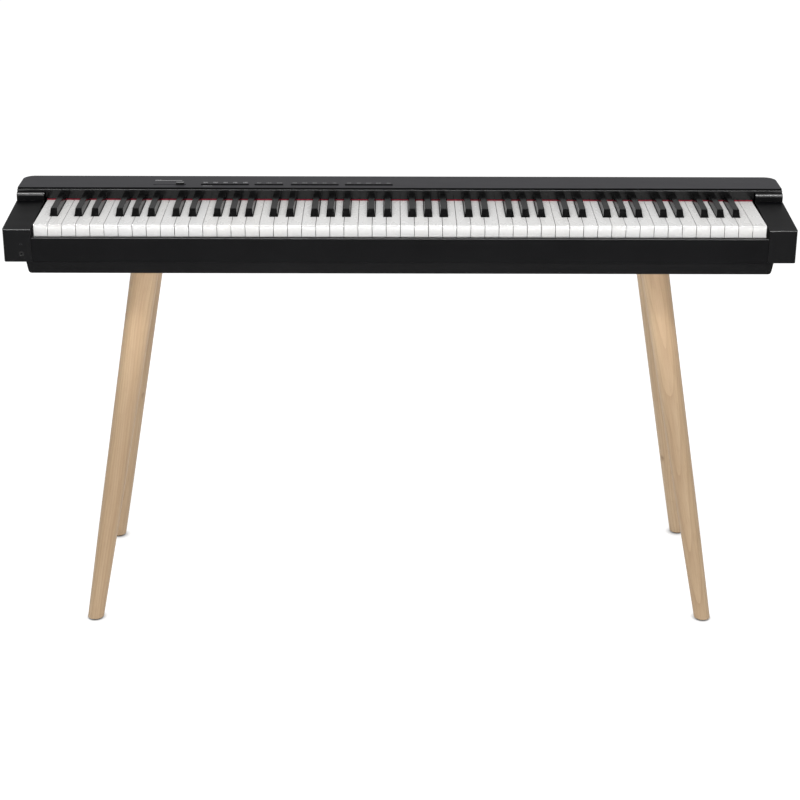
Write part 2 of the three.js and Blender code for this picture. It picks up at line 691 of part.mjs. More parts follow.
function volumeSliderCap() {
  const halfLength = SLIDER_CAP_LENGTH / 2;
  const halfDepth = SLIDER_CAP_DEPTH / 2;
  const bottom = PANEL_TOP + CLEARANCE;
  const side = polygon([
    [SLIDER_TRACK.y - halfDepth, bottom],
    [SLIDER_TRACK.y + halfDepth, bottom],
    [SLIDER_TRACK.y + halfDepth - SLIDER_CAP_TAPER, bottom + SLIDER_CAP_RISE],
    [SLIDER_TRACK.y - halfDepth + SLIDER_CAP_TAPER, bottom + SLIDER_CAP_RISE],
  ]);
  const half = SLIDER_STEM / 2;
  return join(
    sideProfile(side, SLIDER_REST_X - halfLength, SLIDER_REST_X + halfLength),
    box(SLIDER_REST_X - half, SLIDER_REST_X + half, SLIDER_TRACK.y - half, SLIDER_TRACK.y + half,
      PANEL_TOP - SLIDER_STEM_LENGTH, bottom + 1),
  );
}

// The slider's potentiometer: a long housing with a slot that the cap's stem runs in.
function sliderHousing() {
  const { left, right, y } = SLIDER_TRACK;
  const bottom = MAIN_BOARD_TOP + CLEARANCE;
  const top = bottom + HOUSING_HEIGHT;
  const half = HOUSING_HALF_WIDTH;
  const slot = SLIDER_STEM / 2 + 2 * CLEARANCE;
  return cut(
    box(left - HOUSING_END, right + HOUSING_END, y - half, y + half, bottom, top),
    box(left, right, y - slot, y + slot, bottom + HOUSING_FLOOR, top + 1),
  );
}

// A full-range loudspeaker facing down: a frame, a tapered basket and a round magnet above it.
function loudspeaker(side) {
  const x = side * SPEAKER_X;
  const bottom = CASE_BOTTOM + WALL + CLEARANCE;
  const halfLength = SPEAKER_LENGTH / 2;
  const halfWidth = SPEAKER_WIDTH / 2;
  const outline = (inset) => roundedRectangle(
    x - halfLength + 2 * inset, SPEAKER_Y - halfWidth + inset,
    x + halfLength - 2 * inset, SPEAKER_Y + halfWidth - inset,
    Array(4).fill(SPEAKER_CORNER),
  );
  const frame = planProfile(outline(0), bottom, bottom + SPEAKER_FRAME);
  const basket = planProfile(outline(BASKET_INSET), bottom + SPEAKER_FRAME - 1, bottom + SPEAKER_BASKET);
  const magnet = bar('z', MAGNET_RADIUS, bottom + SPEAKER_BASKET - 1, bottom + SPEAKER_MAGNET,
    [x, SPEAKER_Y], 32);
  const cone = new THREE.CylinderGeometry(CONE_THROAT_RADIUS, CONE_MOUTH_RADIUS, CONE_DEPTH + 1, 32)
    .rotateX(Math.PI / 2)
    .translate(x, SPEAKER_Y, bottom + (CONE_DEPTH - 1) / 2);
  return cut(join(frame, basket, magnet), cone);
}

// A round socket that opens towards the front (-1) or the back (+1) of the case.
function roundSocket(x, z, facing, barrel, collar, bore) {
  const face = facing < 0 ? CASE_FRONT : CASE_REAR;
  const inward = -facing;
  const span = (from, to) => [Math.min(face + inward * from, face + inward * to),
    Math.max(face + inward * from, face + inward * to)];
  return cut(
    join(
      bar('y', barrel, ...span(-COLLAR_RISE / 2, SOCKET_LENGTH), [x, z]),
      bar('y', collar, ...span(-COLLAR_RISE, -CLEARANCE), [x, z], 32),
    ),
    bar('y', bore, ...span(-COLLAR_RISE - 1, SOCKET_LENGTH - WALL), [x, z], 20),
  );
}

function powerInlet() {
  const shell = roundSocket(POWER_X, REAR_SOCKET_Z, 1, POWER_RADIUS, POWER_COLLAR, POWER_BORE);
  const pin = bar('y', 1, CASE_REAR - SOCKET_LENGTH + 2, CASE_REAR - 2, [POWER_X, REAR_SOCKET_Z], 12);
  return join(shell, pin);
}

function usbSocket() {
  const halfWidth = USB_WIDTH / 2;
  const halfHeight = USB_HEIGHT / 2;
  const shell = box(USB_X - halfWidth, USB_X + halfWidth, CASE_REAR - USB_DEPTH, CASE_REAR,
    REAR_SOCKET_Z - halfHeight, REAR_SOCKET_Z + halfHeight);
  const mouth = box(USB_X - halfWidth + USB_SHELL, USB_X + halfWidth - USB_SHELL,
    CASE_REAR - USB_DEPTH + USB_SHELL, CASE_REAR + 1,
    REAR_SOCKET_Z - halfHeight + USB_SHELL, REAR_SOCKET_Z + halfHeight - USB_SHELL);
  const tongue = box(USB_X - USB_TONGUE_WIDTH / 2, USB_X + USB_TONGUE_WIDTH / 2,
    CASE_REAR - USB_DEPTH + 1, CASE_REAR - USB_TONGUE_RECESS,
    REAR_SOCKET_Z - USB_TONGUE_HEIGHT / 2, REAR_SOCKET_Z + USB_TONGUE_HEIGHT / 2);
  return join(cut(shell, mouth), tongue);
}

addPart('main_board', mainBoard(), looks.board);
addPart('volume_slider_cap', volumeSliderCap(), looks.slider);
addPart('volume_slider_housing', sliderHousing(), looks.socket);
BUTTON_ROWS.forEach((row, index) => {
  addPart(`button_strip_${index + 1}`, buttonStrip(row), looks.button);
});
addPart('speaker_left', loudspeaker(-1), looks.speaker);
addPart('speaker_right', loudspeaker(1), looks.speaker);
addPart('headphone_socket',
  roundSocket(HEADPHONE_X, HEADPHONE_Z, -1, HEADPHONE_RADIUS, HEADPHONE_COLLAR, HEADPHONE_BORE),
  looks.socket);
addPart('pedal_socket',
  roundSocket(PEDAL_X, REAR_SOCKET_Z, 1, SOCKET_RADIUS, SOCKET_COLLAR, SOCKET_BORE), looks.socket);
addPart('power_inlet', powerInlet(), looks.socket);
addPart('usb_socket', usbSocket(), looks.socket);

// ---------------------------------------------------------------------------------------------
// Stand
// ---------------------------------------------------------------------------------------------

const LEG_TOP_Z = CASE_BOTTOM - CLEARANCE;

// Where a leg's axis meets the case and the floor. Its top is in the same quarter as its foot.
function legCorner(name, footX, footY) {
  return {
    name,
    top: new THREE.Vector3(Math.sign(footX) * LEG_TOP_X, Math.sign(footY) * LEG_TOP_Y, LEG_TOP_Z),
    foot: new THREE.Vector3(footX, footY, 0),
  };
}

const CORNERS = [
  legCorner('front_left', -FRONT_FOOT_X, -LEG_FOOT_Y),
  legCorner('front_right', FRONT_FOOT_X, -LEG_FOOT_Y),
  legCorner('rear_left', -REAR_FOOT_X, REAR_LEFT_FOOT_Y),
  legCorner('rear_right', REAR_FOOT_X, LEG_FOOT_Y),
];

// Turns and moves a shape made along +Y so that it runs up the leg's axis from its foot.
function alongLeg(geometry, { top, foot }) {
  const up = top.clone().sub(foot).normalize();
  const turn = new THREE.Quaternion().setFromUnitVectors(new THREE.Vector3(0, 1, 0), up);
  return geometry.applyQuaternion(turn).translate(foot.x, foot.y, foot.z);
}

// The leg's radius at a distance along its axis from the foot.
function legRadius(distance, length) {
  if (distance < LEG_KNEE_LENGTH) {
    return LEG_FOOT_RADIUS + (LEG_KNEE_RADIUS - LEG_FOOT_RADIUS) * distance / LEG_KNEE_LENGTH;
  }
  const share = (distance - LEG_KNEE_LENGTH) / (length - LEG_KNEE_LENGTH);
  return LEG_KNEE_RADIUS + (LEG_TOP_RADIUS - LEG_KNEE_RADIUS) * share;
}

// A tapered round leg, square to its axis at the top and level with the floor at the foot.
function leg(corner) {
  const length = corner.top.distanceTo(corner.foot);
  const low = -LEG_TRIM;
  const high = length - BRACKET_HEIGHT;
  const outline = [low, LEG_KNEE_LENGTH, high].map(
    (distance) => new THREE.Vector2(legRadius(distance, length), distance),
  );
  const turned = new THREE.LatheGeometry(
    [new THREE.Vector2(0, low), ...outline, new THREE.Vector2(0, high)],
    40,
  );
  const floor = box(-CASE_WIDTH, CASE_WIDTH, -CASE_WIDTH, CASE_WIDTH, -2 * LEG_TRIM, GLIDE_HEIGHT);
  return cut(alongLeg(turned, corner), floor);
}

// A steel plate under the case with an angled boss that the leg screws onto.
function legBracket(corner) {
  const { x, y } = corner.top;
  const half = BRACKET_WIDTH / 2;
  const plan = roundedRectangle(x - half, y - half, x + half, y + half, Array(4).fill(BRACKET_CORNER));
  const length = corner.top.distanceTo(corner.foot);
  const bossBottom = length - BRACKET_HEIGHT + CLEARANCE;
  const bossTop = length + LEG_TOP_RADIUS;
  const boss = new THREE.CylinderGeometry(BOSS_RADIUS, BOSS_RADIUS, bossTop - bossBottom, 32)
    .translate(0, (bossTop + bossBottom) / 2, 0);
  const above = box(x - BRACKET_WIDTH, x + BRACKET_WIDTH, y - BRACKET_WIDTH, y + BRACKET_WIDTH,
    LEG_TOP_Z, LEG_TOP_Z + BRACKET_WIDTH);
  return cut(join(planProfile(plan, LEG_TOP_Z - BRACKET_PLATE, LEG_TOP_Z), alongLeg(boss, corner)), above);
}

// The dark disc that the leg stands on.
function legGlide({ top, foot }) {
  const centre = foot.clone().lerp(top, GLIDE_HEIGHT / LEG_TOP_Z);
  return bar('z', GLIDE_RADIUS, 0, GLIDE_HEIGHT - CLEARANCE, [centre.x, centre.y], 32);
}

for (const corner of CORNERS) {
  addPart(`leg_bracket_${corner.name}`, legBracket(corner), looks.bracket);
  addPart(`leg_${corner.name}`, leg(corner), looks.wood);
  addPart(`leg_glide_${corner.name}`, legGlide(corner), looks.rubber);
}

export default piano;
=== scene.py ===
import itertools
import json
import math
import random

import bmesh
import bpy
from mathutils import Matrix, Vector


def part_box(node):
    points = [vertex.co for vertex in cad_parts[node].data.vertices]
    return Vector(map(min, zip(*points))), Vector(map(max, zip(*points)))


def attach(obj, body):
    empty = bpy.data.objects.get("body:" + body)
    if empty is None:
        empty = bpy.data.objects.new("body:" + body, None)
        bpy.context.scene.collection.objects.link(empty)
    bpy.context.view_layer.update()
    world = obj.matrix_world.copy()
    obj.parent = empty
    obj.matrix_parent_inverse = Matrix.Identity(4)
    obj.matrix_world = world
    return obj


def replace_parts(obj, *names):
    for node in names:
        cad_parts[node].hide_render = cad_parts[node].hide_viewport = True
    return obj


# The looks of a digital piano on a wooden stand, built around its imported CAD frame. Everything is in
# metres, in the frame's own axes: +X to the player's right, +Y away from the player, +Z up.

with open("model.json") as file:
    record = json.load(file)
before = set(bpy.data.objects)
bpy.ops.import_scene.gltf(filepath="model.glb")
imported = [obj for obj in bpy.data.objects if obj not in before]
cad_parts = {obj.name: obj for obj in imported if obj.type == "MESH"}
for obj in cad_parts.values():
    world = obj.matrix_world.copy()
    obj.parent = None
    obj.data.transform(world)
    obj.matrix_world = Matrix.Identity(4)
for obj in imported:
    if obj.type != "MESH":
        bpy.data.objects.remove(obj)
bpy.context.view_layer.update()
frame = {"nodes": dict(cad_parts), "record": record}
RECORD = frame["record"]
MM = 0.001

NODE_SLOT = {row["node"]: row["material_slot"] for row in RECORD["subparts"]}
NODE_BODY = {node: body for body, nodes in RECORD["behaviour"]["bodies"].items() for node in nodes}

# ---------------------------------------------------------------------------------------------------
# Camera, lights and stage
# ---------------------------------------------------------------------------------------------------

CAMERA_PLACE = (-0.0145, -3.172, 1.636)
CAMERA_DOWN = 22.17        # degrees below the horizon
CAMERA_RIGHT = 0.28        # degrees turned towards +X
CAMERA_ROLL = 0.21
CAMERA_LENS = 86.4


def make_camera():
    data = bpy.data.cameras.new("camera")
    data.lens = CAMERA_LENS
    data.sensor_width = 36
    camera = bpy.data.objects.new("camera", data)
    turn = Matrix.Rotation(math.radians(-CAMERA_RIGHT), 4, "Z")
    tilt = Matrix.Rotation(math.radians(90 - CAMERA_DOWN), 4, "X")
    roll = Matrix.Rotation(math.radians(CAMERA_ROLL), 4, "Z")
    camera.matrix_world = Matrix.Translation(CAMERA_PLACE) @ turn @ tilt @ roll
    bpy.context.scene.collection.objects.link(camera)
    bpy.context.scene.camera = camera


def area_light(name, place, target, size, watts, spread=180):
    data = bpy.data.lights.new(name, "AREA")
    data.shape = "RECTANGLE"
    data.size, data.size_y = size
    data.energy = watts
    data.spread = math.radians(spread)
    light = bpy.data.objects.new(name, data)
    light.location = place
    aim = Vector(target) - Vector(place)
    light.rotation_euler = aim.to_track_quat("-Z", "Y").to_euler()
    bpy.context.scene.collection.objects.link(light)


SKY_IN_FRONT = 0.10        # the studio's brightness towards -Y, towards +Y, and added overhead
SKY_BEHIND = 0.42
SKY_OVERHEAD = 0.20


def make_world():
    """A dim studio: darkest in front of the piano, brighter overhead and behind it."""
    world = bpy.data.worlds.new("studio")
    world.use_nodes = True
    tree = world.node_tree
    direction = tree.nodes.new("ShaderNodeTexCoord").outputs["Generated"]
    axes = tree.nodes.new("ShaderNodeSeparateXYZ")
    tree.links.new(direction, axes.inputs["Vector"])
    behind = tree.nodes.new("ShaderNodeMapRange")
    behind.interpolation_type = "SMOOTHSTEP"
    limits = {"From Min": -0.3, "From Max": 0.7, "To Min": SKY_IN_FRONT, "To Max": SKY_BEHIND}
    for socket, value in limits.items():
        behind.inputs[socket].default_value = value
    tree.links.new(axes.outputs["Y"], behind.inputs["Value"])
    overhead = tree.nodes.new("ShaderNodeMath")
    overhead.operation = "MULTIPLY_ADD"
    overhead.inputs[1].default_value = SKY_OVERHEAD
    tree.links.new(axes.outputs["Z"], overhead.inputs[0])
    tree.links.new(behind.outputs["Result"], overhead.inputs[2])
    background = tree.nodes["Background"]
    background.inputs["Color"].default_value = (1, 1, 1, 1)
    tree.links.new(overhead.outputs[0], background.inputs["Strength"])
    bpy.context.scene.world = world


def make_lights():
    area_light("key_softbox", (0, -1.05, 3.05), (0, 0, 0.7), (3.2, 0.3), 58)
    area_light("front_fill", (0, -4.6, 0.9), (0, 0, 0.6), (4, 1.6), 70)
    area_light("bounce_card", (0, -0.6, 0.08), (0, -0.06, 0.60), (1.3, 0.1), 0.5, spread=24)
    make_world()
    bpy.context.scene.view_settings.view_transform = "Standard"


def make_floor(material):
    half = 30
    bm = bmesh.new()
    bmesh.ops.create_grid(bm, x_segments=8, y_segments=8, size=half)
    mesh = bpy.data.meshes.new("floor")
    bm.to_mesh(mesh)
    bm.free()
    floor = bpy.data.objects.new("floor", mesh)
    floor.data.materials.append(material)
    bpy.context.scene.collection.objects.link(floor)


# ---------------------------------------------------------------------------------------------------
# Material helpers
# ---------------------------------------------------------------------------------------------------


class Look:
    """One material's node tree, built around its Principled shader."""

    def __init__(self, name, color, roughness, **sockets):
        self.material = bpy.data.materials.new(name)
        self.material.use_nodes = True
        self.tree = self.material.node_tree
        self.shader = self.tree.nodes["Principled BSDF"]
        self.material.diffuse_color = (*color, 1)
        self.shader.inputs["Base Color"].default_value = (*color, 1)
        self.shader.inputs["Roughness"].default_value = roughness
        for socket, value in sockets.items():
            self.shader.inputs[socket.replace("_", " ")].default_value = value
        self.bump_normal = None

    def node(self, kind, inputs=None, **settings):
        node = self.tree.nodes.new(kind)
        for key, value in settings.items():
            setattr(node, key, value)
        for key, value in (inputs or {}).items():
            if isinstance(value, bpy.types.NodeSocket):
                self.tree.links.new(value, node.inputs[key])
            else:
                node.inputs[key].default_value = value
        return node

    def place(self, scale=(1, 1, 1)):
        """The object's own coordinates in metres, stretched by scale."""
        source = self.node("ShaderNodeTexCoord").outputs["Object"]
        return self.node("ShaderNodeMapping", {"Vector": source, "Scale": scale}).outputs["Vector"]

    def noise(self, scale, detail=3, roughness=0.5, stretch=(1, 1, 1), vector=None):
        inputs = {"Vector": vector or self.place(stretch), "Scale": scale, "Detail": detail,
                  "Roughness": roughness}
        return self.node("ShaderNodeTexNoise", inputs).outputs["Fac"]

    def spread(self, value, low, high, out_low, out_high):
        """Maps value from low..high to out_low..out_high, held at both ends."""
        inputs = {"Value": value, "From Min": low, "From Max": high, "To Min": out_low, "To Max": out_high}
        return self.node("ShaderNodeMapRange", inputs, clamp=True).outputs["Result"]

    def math(self, operation, first, second=0.0):
        return self.node("ShaderNodeMath", {0: first, 1: second}, operation=operation).outputs[0]

    def mix(self, share, first, second, blend="MIX"):
        node = self.tree.nodes.new("ShaderNodeMix")
        node.data_type = "RGBA"
        node.blend_type = blend
        for index, value in ((0, share), (6, first), (7, second)):
            if isinstance(value, bpy.types.NodeSocket):
                self.tree.links.new(value, node.inputs[index])
            else:
                node.inputs[index].default_value = value if index == 0 else (*value, 1)
        return node.outputs[2]

    def attribute(self, name):
        return self.node("ShaderNodeAttribute", attribute_name=name).outputs["Fac"]

    def bump(self, height, strength, distance):
        """Adds relief; several calls build on each other."""
        inputs = {"Height": height, "Strength": strength, "Distance": distance}
        if self.bump_normal:
            inputs["Normal"] = self.bump_normal
        self.bump_normal = self.node("ShaderNodeBump", inputs).outputs["Normal"]
        self.set("Normal", self.bump_normal)

    def set(self, socket, value):
        for link in list(self.shader.inputs[socket].links):
            self.tree.links.remove(link)
        self.tree.links.new(value, self.shader.inputs[socket])


def moulded_plastic(name, color, worn, roughness, grain_size, grain_depth, polish_and_highlight=0.0, **sockets):
    """Satin plastic from a textured mould: fine grain and uneven gloss. Its upper rounded edges (face
    attribute edge) are glossier, as if rubbed smooth, and coloured lighter as a painted highlight.
    """
    look = Look(name, color, roughness, **sockets)
    patches = look.noise(9, detail=5, roughness=0.6)
    smears = look.noise(60, detail=4, stretch=(0.35, 1, 1))
    # rubbed marks the upper rounded edges: more gloss there, and the lighter colour below is a painted
    # highlight
    rubbed = look.math("MULTIPLY", look.attribute("edge"), look.spread(smears, 0.2, 0.6, 0.85, 1))
    surface = look.mix(look.spread(patches, 0.35, 0.7, 0, 1), color, worn)
    # painted highlight: the upper rounded edges are coloured lighter than the plastic
    bright = tuple(channel * 1.5 + 0.022 * polish_and_highlight for channel in worn)
    look.set("Base Color", look.mix(rubbed, surface, bright))
    uneven = look.spread(look.math("ADD", patches, look.math("MULTIPLY", smears, 0.5)),
                         0.4, 1.1, roughness - 0.05, roughness + 0.07)
    look.set("Roughness", look.math("SUBTRACT", uneven, look.math("MULTIPLY", rubbed, 0.12 * polish_and_highlight)))
    level = look.shader.inputs["Specular IOR Level"].default_value
    look.set("Specular IOR Level", look.math("ADD", look.math("MULTIPLY", rubbed, 0.7 * polish_and_highlight), level))
    look.bump(look.noise(1 / grain_size, detail=2, roughness=0.7), 0.35, grain_depth)
    return look.material


def white_key_plastic():
    base, warm, dull = (0.795, 0.793, 0.788), (0.800, 0.788, 0.768), (0.765, 0.763, 0.757)
    look = Look("white_key_plastic", base, 0.24, Specular_IOR_Level=0.42)
    tone = look.attribute("tone")
    cloud = look.noise(26, detail=4, roughness=0.55)
    color = look.mix(look.math("MULTIPLY", tone, 0.7), base, warm)
    color = look.mix(look.spread(cloud, 0.4, 0.75, 0, 0.25), color, dull)
    look.set("Base Color", color)
    look.set("Roughness", look.spread(look.noise(70, detail=3, stretch=(1, 0.3, 1)), 0.3, 0.75, 0.24, 0.31))
    look.bump(look.noise(2400, detail=2), 0.12, 0.02 * MM)
    return look.material


def black_key_plastic():
    base, worn = (0.0012, 0.0012, 0.0013), (0.0038, 0.0038, 0.0040)
    look = Look("black_key_plastic", base, 0.2, Specular_IOR_Level=0.13)
    tone = look.attribute("tone")
    rubbed = look.noise(180, detail=5, roughness=0.65, stretch=(1, 0.12, 1))
    share = look.math("MULTIPLY", look.spread(rubbed, 0.42, 0.72, 0, 1), look.spread(tone, 0, 1, 0.4, 1))
    look.set("Base Color", look.mix(share, base, worn))
    look.set("Roughness", look.spread(rubbed, 0.3, 0.7, 0.16, 0.24))
    look.bump(look.noise(1500, detail=2), 0.2, 0.03 * MM)
    return look.material


def wool_felt():
    deep, bright = (0.31, 0.014, 0.036), (0.55, 0.050, 0.085)
    look = Look("wool_felt", deep, 0.95, Sheen_Weight=0.35, Specular_IOR_Level=0.2)
    fibres = look.noise(1600, detail=6, roughness=0.75, stretch=(0.5, 1, 1))
    clumps = look.noise(240, detail=3)
    look.set("Base Color", look.mix(look.spread(clumps, 0.3, 0.7, 0, 1), deep, bright))
    look.bump(fibres, 0.8, 0.25 * MM)
    look.bump(clumps, 0.5, 0.3 * MM)
    return look.material


def light_oak():
    """Lacquered oak for turned legs. The vector attribute "own" is a place on the leg before it is tilted."""
    pale, mid, dark = (0.515, 0.375, 0.235), (0.425, 0.290, 0.172), (0.27, 0.163, 0.085)
    look = Look("light_oak", mid, 0.5, Specular_IOR_Level=0.35)
    tone = look.attribute("tone")
    offset = {"X": look.math("MULTIPLY", tone, 0.31), "Z": look.math("MULTIPLY", tone, 2.7)}
    shift = look.node("ShaderNodeCombineXYZ", offset).outputs[0]
    upright = look.node("ShaderNodeAttribute", attribute_name="own").outputs["Vector"]
    own = look.node("ShaderNodeVectorMath", {0: upright, 1: shift}, operation="ADD").outputs[0]

    def own_noise(scale, stretch, detail, roughness=0.55):
        vector = look.node("ShaderNodeVectorMath", {0: own, 1: stretch}, operation="MULTIPLY").outputs[0]
        return look.noise(scale, detail, roughness, vector=vector)

    # Growth rings: planes across the leg, bent slowly along its length.
    sway = own_noise(7, (1, 1, 0.22), 3)
    across = look.node("ShaderNodeSeparateXYZ", {"Vector": own}).outputs
    position = look.math("ADD", look.math("MULTIPLY", across["X"], 0.8),
                         look.math("MULTIPLY", across["Y"], 0.6))
    bent = look.math("ADD", position, look.math("MULTIPLY", sway, 0.05))
    rings = look.math("FRACT", look.math("MULTIPLY", bent, 210))
    late_wood = look.math("POWER", rings, 3.0)
    streaks = own_noise(520, (1, 1, 0.035), 4, 0.7)
    broad = own_noise(38, (1, 1, 0.06), 3)
    pores = look.spread(own_noise(1500, (1, 1, 0.022), 2, 0.8), 0.60, 0.72, 0, 1)
    color = look.mix(look.spread(broad, 0.3, 0.7, 0, 1), mid, pale)
    color = look.mix(look.math("MULTIPLY", late_wood, 0.34), color, dark)
    color = look.mix(look.spread(streaks, 0.45, 0.8, 0, 0.35), color, dark)
    color = look.mix(look.math("MULTIPLY", pores, 0.45), color, dark)
    knot = look.attribute("knot")
    color = look.mix(look.spread(knot, 0.25, 1, 0, 0.85), color, (0.16, 0.085, 0.04))
    look.set("Base Color", color)
    look.set("Roughness", look.spread(streaks, 0.3, 0.8, 0.43, 0.6))
    look.bump(look.math("MULTIPLY", pores, -1.0), 0.35, 0.12 * MM)
    look.bump(streaks, 0.12, 0.1 * MM)
    return look.material


def soft_rubber():
    color, dusty = (0.030, 0.030, 0.032), (0.060, 0.059, 0.058)
    look = Look("soft_rubber", color, 0.8, Specular_IOR_Level=0.3)
    look.set("Base Color", look.mix(look.spread(look.noise(300, detail=5), 0.45, 0.75, 0, 1), color, dusty))
    look.bump(look.noise(2500, detail=2), 0.3, 0.05 * MM)
    return look.material


def powder_coat(name, color, roughness, metallic=0.0):
    """Steel under a sprayed coat, with its orange-peel surface."""
    look = Look(name, color, roughness, Metallic=metallic)
    paler = tuple(channel * 1.6 for channel in color)
    look.set("Base Color", look.mix(look.spread(look.noise(40, detail=5), 0.45, 0.75, 0, 1), color, paler))
    look.set("Roughness", look.spread(look.noise(130), 0.3, 0.7, roughness - 0.06, roughness + 0.08))
    look.bump(look.noise(900, detail=1), 0.4, 0.08 * MM)
    return look.material


def bright_steel():
    """Zinc-plated steel of screws, contacts and socket shells."""
    look = Look("bright_steel", (0.55, 0.56, 0.57), 0.3, Metallic=1.0)
    stain = look.noise(500, detail=4)
    plating, dull = (0.58, 0.58, 0.59), (0.36, 0.35, 0.34)
    look.set("Base Color", look.mix(look.spread(stain, 0.4, 0.8, 0, 1), plating, dull))
    look.set("Roughness", look.spread(stain, 0.3, 0.7, 0.22, 0.42))
    return look.material


def circuit_board():
    """Green solder mask over copper tracks that run along the board."""
    mask, track = (0.010, 0.085, 0.034), (0.022, 0.17, 0.065)
    look = Look("circuit_board", mask, 0.35)
    brick = look.node("ShaderNodeTexBrick", {
        "Vector": look.place(), "Scale": 90.0, "Mortar Size": 0.03, "Color1": (0, 0, 0, 1),
        "Color2": (0, 0, 0, 1), "Mortar": (1, 1, 1, 1), "Brick Width": 1.4, "Row Height": 0.22})
    broken = look.math("MULTIPLY", brick.outputs["Color"], look.spread(look.noise(35), 0.45, 0.55, 0, 1))
    look.set("Base Color", look.mix(broken, mask, track))
    look.bump(broken, 0.4, 0.05 * MM)
    return look.material


def printed_ink(name, color, thin):
    """Screen-printed ink, a little worn through in places."""
    look = Look(name, color, 0.55, Specular_IOR_Level=0.2)
    look.set("Base Color", look.mix(look.spread(look.noise(1200, detail=4), 0.5, 0.8, 0, 0.6), color, thin))
    return look.material


def speaker_weave():
    """Black acoustic cloth: two sets of threads crossing."""
    look = Look("speaker_weave", (0.006, 0.006, 0.006), 0.9, Specular_IOR_Level=0.1)
    threads = [
        look.node("ShaderNodeTexWave", {"Vector": look.place(), "Scale": 900.0, "Distortion": 0.4},
                  bands_direction=direction).outputs["Fac"]
        for direction in ("X", "Y")
    ]
    weave = look.math("MAXIMUM", *threads)
    look.set("Base Color", look.mix(weave, (0.003, 0.003, 0.003), (0.012, 0.012, 0.012)))
    look.bump(weave, 0.6, 0.1 * MM)
    return look.material


def studio_floor():
    """A lit white floor. Only what lies within a centimetre or two of the feet is in shade."""
    look = Look("studio_floor", (0.3, 0.3, 0.3), 0.9, Specular_IOR_Level=0.0)
    look.shader.inputs["Emission Color"].default_value = (1, 1, 1, 1)
    look.set("Base Color", look.mix(look.noise(0.8, detail=2), (0.31, 0.31, 0.31), (0.29, 0.29, 0.29)))
    openness = look.node("ShaderNodeAmbientOcclusion", {"Distance": 14 * MM}).outputs["AO"]
    look.set("Emission Strength", look.spread(openness, 0.25, 0.9, 0.15, 0.93))
    return look.material


# The polish of a moulded plastic also sets how much lighter its upper rounded edges are painted, as a painted
# highlight; the end blocks' shoulders have the most.
LOOKS = {
    "case": moulded_plastic("case_plastic", (0.0012, 0.0012, 0.0016), (0.0026, 0.0026, 0.0031), 0.36,
                            0.5 * MM, 0.05 * MM, polish_and_highlight=1.0, Specular_IOR_Level=0.07),
    "panel": moulded_plastic("panel_plastic", (0.034, 0.0335, 0.038), (0.042, 0.0415, 0.046), 0.45,
                             0.45 * MM, 0.05 * MM, Specular_IOR_Level=0.15),
    "felt": wool_felt(),
    "white_key": white_key_plastic(),
    "black_key": black_key_plastic(),
    "chassis": powder_coat("chassis_coat", (0.20, 0.21, 0.22), 0.5, 0.3),
    "board": circuit_board(),
    "button": moulded_plastic("button_plastic", (0.0020, 0.0020, 0.0022), (0.0036, 0.0036, 0.0039), 0.5,
                              0.3 * MM, 0.03 * MM, Specular_IOR_Level=0.03),
    "slider": moulded_plastic("slider_plastic", (0.0035, 0.0035, 0.0038), (0.0055, 0.0055, 0.0058), 0.36,
                              0.3 * MM, 0.03 * MM, polish_and_highlight=1.5, Specular_IOR_Level=0.15),
    "socket": moulded_plastic("socket_plastic", (0.0030, 0.0030, 0.0030), (0.0055, 0.0055, 0.0055), 0.32,
                              0.4 * MM, 0.03 * MM, polish_and_highlight=0.5, Specular_IOR_Level=0.3),
    "speaker": moulded_plastic("speaker_pulp", (0.010, 0.010, 0.010), (0.022, 0.021, 0.020), 0.75,
                               0.6 * MM, 0.10 * MM, Specular_IOR_Level=0.2),
    "bracket": powder_coat("bracket_coat", (0.0095, 0.0095, 0.0100), 0.42),
    "leg_wood": light_oak(),
    "glide": soft_rubber(),
}
GLOSS = moulded_plastic("fallboard_gloss", (0.0008, 0.0008, 0.0010), (0.0014, 0.0014, 0.0017), 0.17,
                        0.9 * MM, 0.01 * MM, polish_and_highlight=0.3, Specular_IOR_Level=0.42)
BLOCK = moulded_plastic("block_plastic", (0.0014, 0.0014, 0.0018), (0.0028, 0.0028, 0.0033), 0.38,
                        0.5 * MM, 0.05 * MM, polish_and_highlight=1.7, Specular_IOR_Level=0.10)
UNPOLISHED = moulded_plastic("pan_plastic", (0.0016, 0.0016, 0.0019), (0.0030, 0.0030, 0.0034), 0.4,
                             0.5 * MM, 0.05 * MM, Specular_IOR_Level=0.08)
KNOB_PAINTED_SHEEN = moulded_plastic("knob_painted_sheen", (0.11, 0.11, 0.112), (0.14, 0.14, 0.142), 0.45,
                           0.3 * MM, 0.03 * MM, Specular_IOR_Level=0.3)
STEEL = bright_steel()
INK = printed_ink("printed_ink", (0.42, 0.42, 0.43), (0.20, 0.20, 0.205))
FAINT_INK = printed_ink("faint_ink", (0.030, 0.030, 0.032), (0.014, 0.014, 0.015))
WEAVE = speaker_weave()

# ---------------------------------------------------------------------------------------------------
# Mesh helpers
# ---------------------------------------------------------------------------------------------------

CREASE = math.radians(34)      # edges sharper than this are rounded, and stay sharp in the shading


def prism(outline, low, high, plane="xy"):
    """A closed prism: an outline in one plane, swept from low to high along the axis across it."""
    place = {
        "xy": lambda a, b, c: (a, b, c),
        "yz": lambda a, b, c: (c, a, b),
        "xz": lambda a, b, c: (a, c, b),
    }[plane]
    bm = bmesh.new()
    near = [bm.verts.new(place(a, b, low)) for a, b in outline]
    far = [bm.verts.new(place(a, b, high)) for a, b in outline]
    bm.faces.new(near)
    bm.faces.new(far)
    for index in range(len(outline)):
        after = (index + 1) % len(outline)
        bm.faces.new((near[index], near[after], far[after], far[index]))
    bmesh.ops.recalc_face_normals(bm, faces=bm.faces)
    return bm


def block(bm, low, high):
    """Adds a closed box between two opposite corners."""
    low, high = Vector(low), Vector(high)
    place = Matrix.Translation((low + high) / 2) @ Matrix.Diagonal((*(high - low), 1))
    bmesh.ops.create_cube(bm, size=1, matrix=place)


